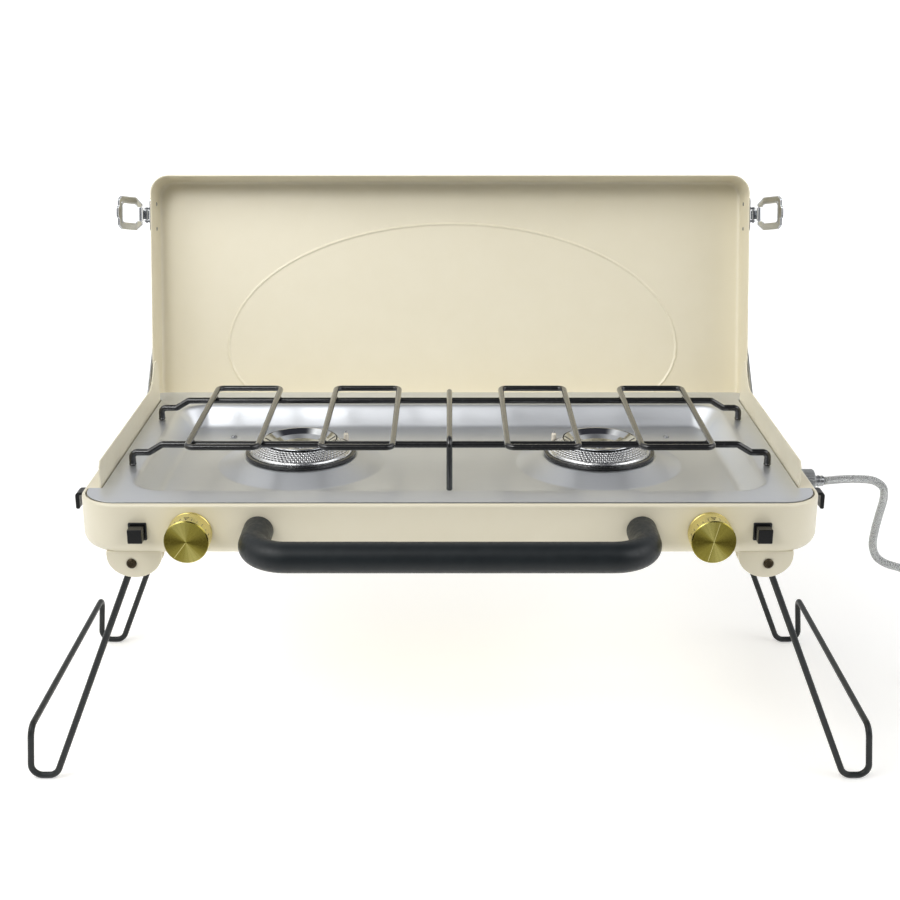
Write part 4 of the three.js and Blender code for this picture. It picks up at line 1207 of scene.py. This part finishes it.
for side, s in SIDES:
    piece(
        f"lid_strip_{side}", opened(arm, s), strip_steel, "lid", f"lid_arm_{side}",
        bevel=0.4, crease=50, holes=[opened(arm_bore, s)],
    )
    for k, u in enumerate((ARM_LEN - 4, ARM_LEN - 30)):
        rivet = opened(moved(strip_rivet, pointing((302.05, *on_arm(u)), (1, 0, 0))), s)
        piece(f"strip_rivet_{k + 1}_{side}", rivet, screw_steel, "lid")
    bolt = merge(
        cylinder("x", 2.15, s * 291.2, s * 303.2, (PIVOT_Y, PIVOT_Z), 20),
        moved(pan_head(4.9, 1.8), pointing((s * 302.6, PIVOT_Y, PIVOT_Z), (s, 0, 0))),
        cylinder("x", 4.9, s * 298.9, s * 300.1, (PIVOT_Y, PIVOT_Z), 28),
        moved(lathe([(0, 0), (4.2, 0), (4.2, 3), (0, 3)], 6), pointing((s * 290.85, PIVOT_Y, PIVOT_Z), (s, 0, 0))),
    )
    piece(f"pivot_bolt_{side}", bolt, screw_steel, "base", f"lid_pivot_{side}", bevel=0.2, crease=35)

    base = opened(merge(latch_back, merge(*latch_ears), latch_pin), s)
    piece(f"latch_base_{side}", base, chrome, "lid", f"latch_plate_{side}", bevel=0.35, crease=40)
    for k, y in enumerate((LATCH_Y - 12.5, LATCH_Y + 12.5)):
        for name, x, way in (("out", 301.85, 1), ("in", 299.05, -1)):
            rivet = opened(moved(latch_rivet, pointing((x, y, 27), (way, 0, 0))), s)
            piece(f"latch_rivet_{name}_{k + 1}_{side}", rivet, screw_steel, "lid")
    body = f"latch_lever_{side}"
    arm_shape = opened(moved(lever, latch_place(0)), s)
    piece(f"latch_arm_{side}", arm_shape, chrome, body, body, bevel=0.25, crease=35)
    body, to_loop = f"latch_loop_{side}", latch_place(LEVER_LEN)
    bail = opened(moved(prism(loop_edge, -0.9, 0.9), to_loop), s)
    cuts = [opened(moved(cut, to_loop), s) for cut in loop_cuts]
    piece(f"latch_bail_{side}", bail, chrome, body, body, bevel=0.5, crease=45, holes=cuts)
    border = opened(moved(merge(*borders), to_loop), s)
    piece(f"latch_border_{side}", border, chrome, body, crease=50)
    piece(f"latch_lip_{side}", opened(moved(loop_hinge, to_loop), s), chrome, body, crease=50)

    piece(
        f"keeper_hook_{side}", mirrored(keeper, s), hook_black, "base", f"keeper_{side}",
        bevel=0.35, crease=40,
    )
    for k, y in enumerate((67.6, 84.4)):
        rivet = moved(pan_head(1.9, 1.0), pointing((s * 300.05, y, -28.5), (s, 0, 0)))
        piece(f"keeper_rivet_{k + 1}_{side}", rivet, screw_dark, "base")


# Gas inlet: a straight-knurled nut, then the hose's ferrule

INLET = shift(0, INLET_Y, INLET_Z) @ YZX
TEETH = 30
knurl = []
for k in range(TEETH * 4):
    r, a = 10.3 if k % 4 in (0, 1) else 9.55, TAU * k / (TEETH * 4)
    knurl.append((r * cos(a), r * sin(a)))
washer = flat_profile([(0, 311.2), (9.6, 311.2), (9.6, 312.2), (8.4, 312.8), (0, 312.8)], 0.3, 3)
spigot = flat_profile([(0, 294.2), (4.7, 294.2), (4.7, 299.6), (0, 299.6)], 0.3, 3)
inlet = moved(merge(prism(knurl, 299.3, 311.4), lathe(washer, 48), lathe(spigot, 32)), INLET)
piece("inlet_nut", inlet, zinc, "base", "inlet_collar", bevel=0.18, crease=30, steps=2)
crimp = [
    (0, 312.6), (4.9, 312.6), (4.9, 314.4), (4.3, 314.8), (4.3, 315.4), (4.9, 315.8), (4.9, 317.6),
    (4.3, 318.0), (4.3, 318.6), (4.8, 319), (4.6, 320.8), (3.8, 321.2), (0, 321.2),
]
ferrule = moved(lathe(flat_profile(crimp, 0.25, 3), 40), INLET)
piece("hose_ferrule", ferrule, stainless, "base")

# CAD nodes whose shapes stay: the gas pipe, valves and mixing tubes inside the tray
kept = {"manifold_pipe": stainless}
for side, _ in SIDES:
    kept[f"mixing_tube_{side}"] = stainless
    kept[f"valve_body_{side}"] = brass_plain
for name, material in kept.items():
    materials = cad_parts[name].data.materials
    materials.clear()
    materials.append(material)


# Floor: near-white, with a faint light of its own, and darker in front of the picture's lower edge

FLOOR_SPAN, DARK_FROM_Y, DARK_TO_Y = 45.0, -0.4, -1.0
floor_mesh = bpy.data.meshes.new("floor")
corners = [(x * FLOOR_SPAN, y * FLOOR_SPAN, 0) for x, y in ((-1, -1), (1, -1), (1, 1), (-1, 1))]
floor_mesh.from_pydata(corners, [], [(0, 1, 2, 3)])
floor = linked("floor", floor_mesh)
f = Finish("floor", "F8F8F8", 0.85)
f.mottle(3, "F3F3F2", 0.5)
y = f.node("ShaderNodeSeparateXYZ", {"Vector": f.coordinates}).outputs["Y"]
f.tint(f.ranged(y, 1.0, 0.0, DARK_TO_Y, DARK_FROM_Y), "8C8C8C")
from_stove = f.node("ShaderNodeVectorMath", {0: f.coordinates}, operation="LENGTH").outputs["Value"]
glow = f.math("MULTIPLY", f.ranged(from_stove, 0.3, 0.45, 0.6, 2.0), f.ranged(y, 0.0, 1.0, DARK_TO_Y, DARK_FROM_Y))
f.shader.inputs["Emission Color"].default_value = (1, 1, 1, 1)
f.tree.links.new(glow, f.shader.inputs["Emission Strength"])
floor_mesh.materials.append(f.material)


# World: a studio with white walls and dim or bright patches in them

world = bpy.data.worlds.new("studio")
bpy.context.scene.world = world
world.use_nodes = True
sky = world.node_tree
direction = sky.nodes.new("ShaderNodeTexCoord").outputs["Generated"]


def sky_patch(azimuth, elevation, inner, outer):
    """1 within inner degrees of a direction and 0 beyond outer. Azimuth 0 is the front, 90 the right."""
    a, e = radians(azimuth), radians(elevation)
    dot = sky.nodes.new("ShaderNodeVectorMath")
    dot.operation = "DOT_PRODUCT"
    sky.links.new(direction, dot.inputs[0])
    dot.inputs[1].default_value = (sin(a) * cos(e), -cos(a) * cos(e), sin(e))
    edge = sky.nodes.new("ShaderNodeMapRange")
    edge.interpolation_type = "SMOOTHSTEP"
    sky.links.new(dot.outputs["Value"], edge.inputs["Value"])
    edge.inputs["From Min"].default_value = cos(radians(outer))
    edge.inputs["From Max"].default_value = cos(radians(inner))
    return edge.outputs["Result"]


def sky_mix(below, factor, radiance):
    mix = sky.nodes.new("ShaderNodeMix")
    mix.data_type = "RGBA"
    sky.links.new(factor, mix.inputs["Factor"])
    if isinstance(below, bpy.types.NodeSocket):
        sky.links.new(below, mix.inputs[6])
    else:
        mix.inputs[6].default_value = (*below, 1)
    mix.inputs[7].default_value = (*radiance, 1)
    return mix.outputs[2]


radiance = (0.68, 0.68, 0.68)
for patch, light in (
    ((0, 10, 30, 62), (0.12, 0.12, 0.13)),  # the dim wall behind the camera
    ((-64, 50, 24, 44), (1.7, 1.69, 1.66)),  # soft box at the left
    ((68, 36, 18, 34), (2.6, 2.6, 2.62)),  # soft box at the right
    ((100, 78, 20, 38), (0.05, 0.05, 0.06)),  # the dim ceiling
):
    radiance = sky_mix(radiance, sky_patch(*patch), light)
background = sky.nodes["Background"]
sky.links.new(radiance, background.inputs["Color"])
background.inputs["Strength"].default_value = 1.0
bpy.context.scene.view_settings.view_transform = "Standard"


# Lamps: a key over the left shoulder, and a gridded one that reaches over the plate to the inside of the lid


def aimed(name, light, location, target):
    lamp = linked(name, light)
    lamp.location = location
    lamp.rotation_euler = (Vector(target) - lamp.location).to_track_quat("-Z", "Y").to_euler()


key = bpy.data.lights.new("key", "AREA")
key.shape = "RECTANGLE"
key.size, key.size_y = 1.0, 0.8
key.energy = 6.0
aimed("key", key, (-0.95, -0.8, 1.4), (-0.05, 0.1, 0.3))
spot = bpy.data.lights.new("lid_lamp", "SPOT")
spot.energy = 29
spot.shadow_soft_size = 0.22
spot.spot_size = radians(46)
spot.spot_blend = 0.55
aimed("lid_lamp", spot, (-0.5, -1.0, 1.2), (0, 0.27, 0.62))
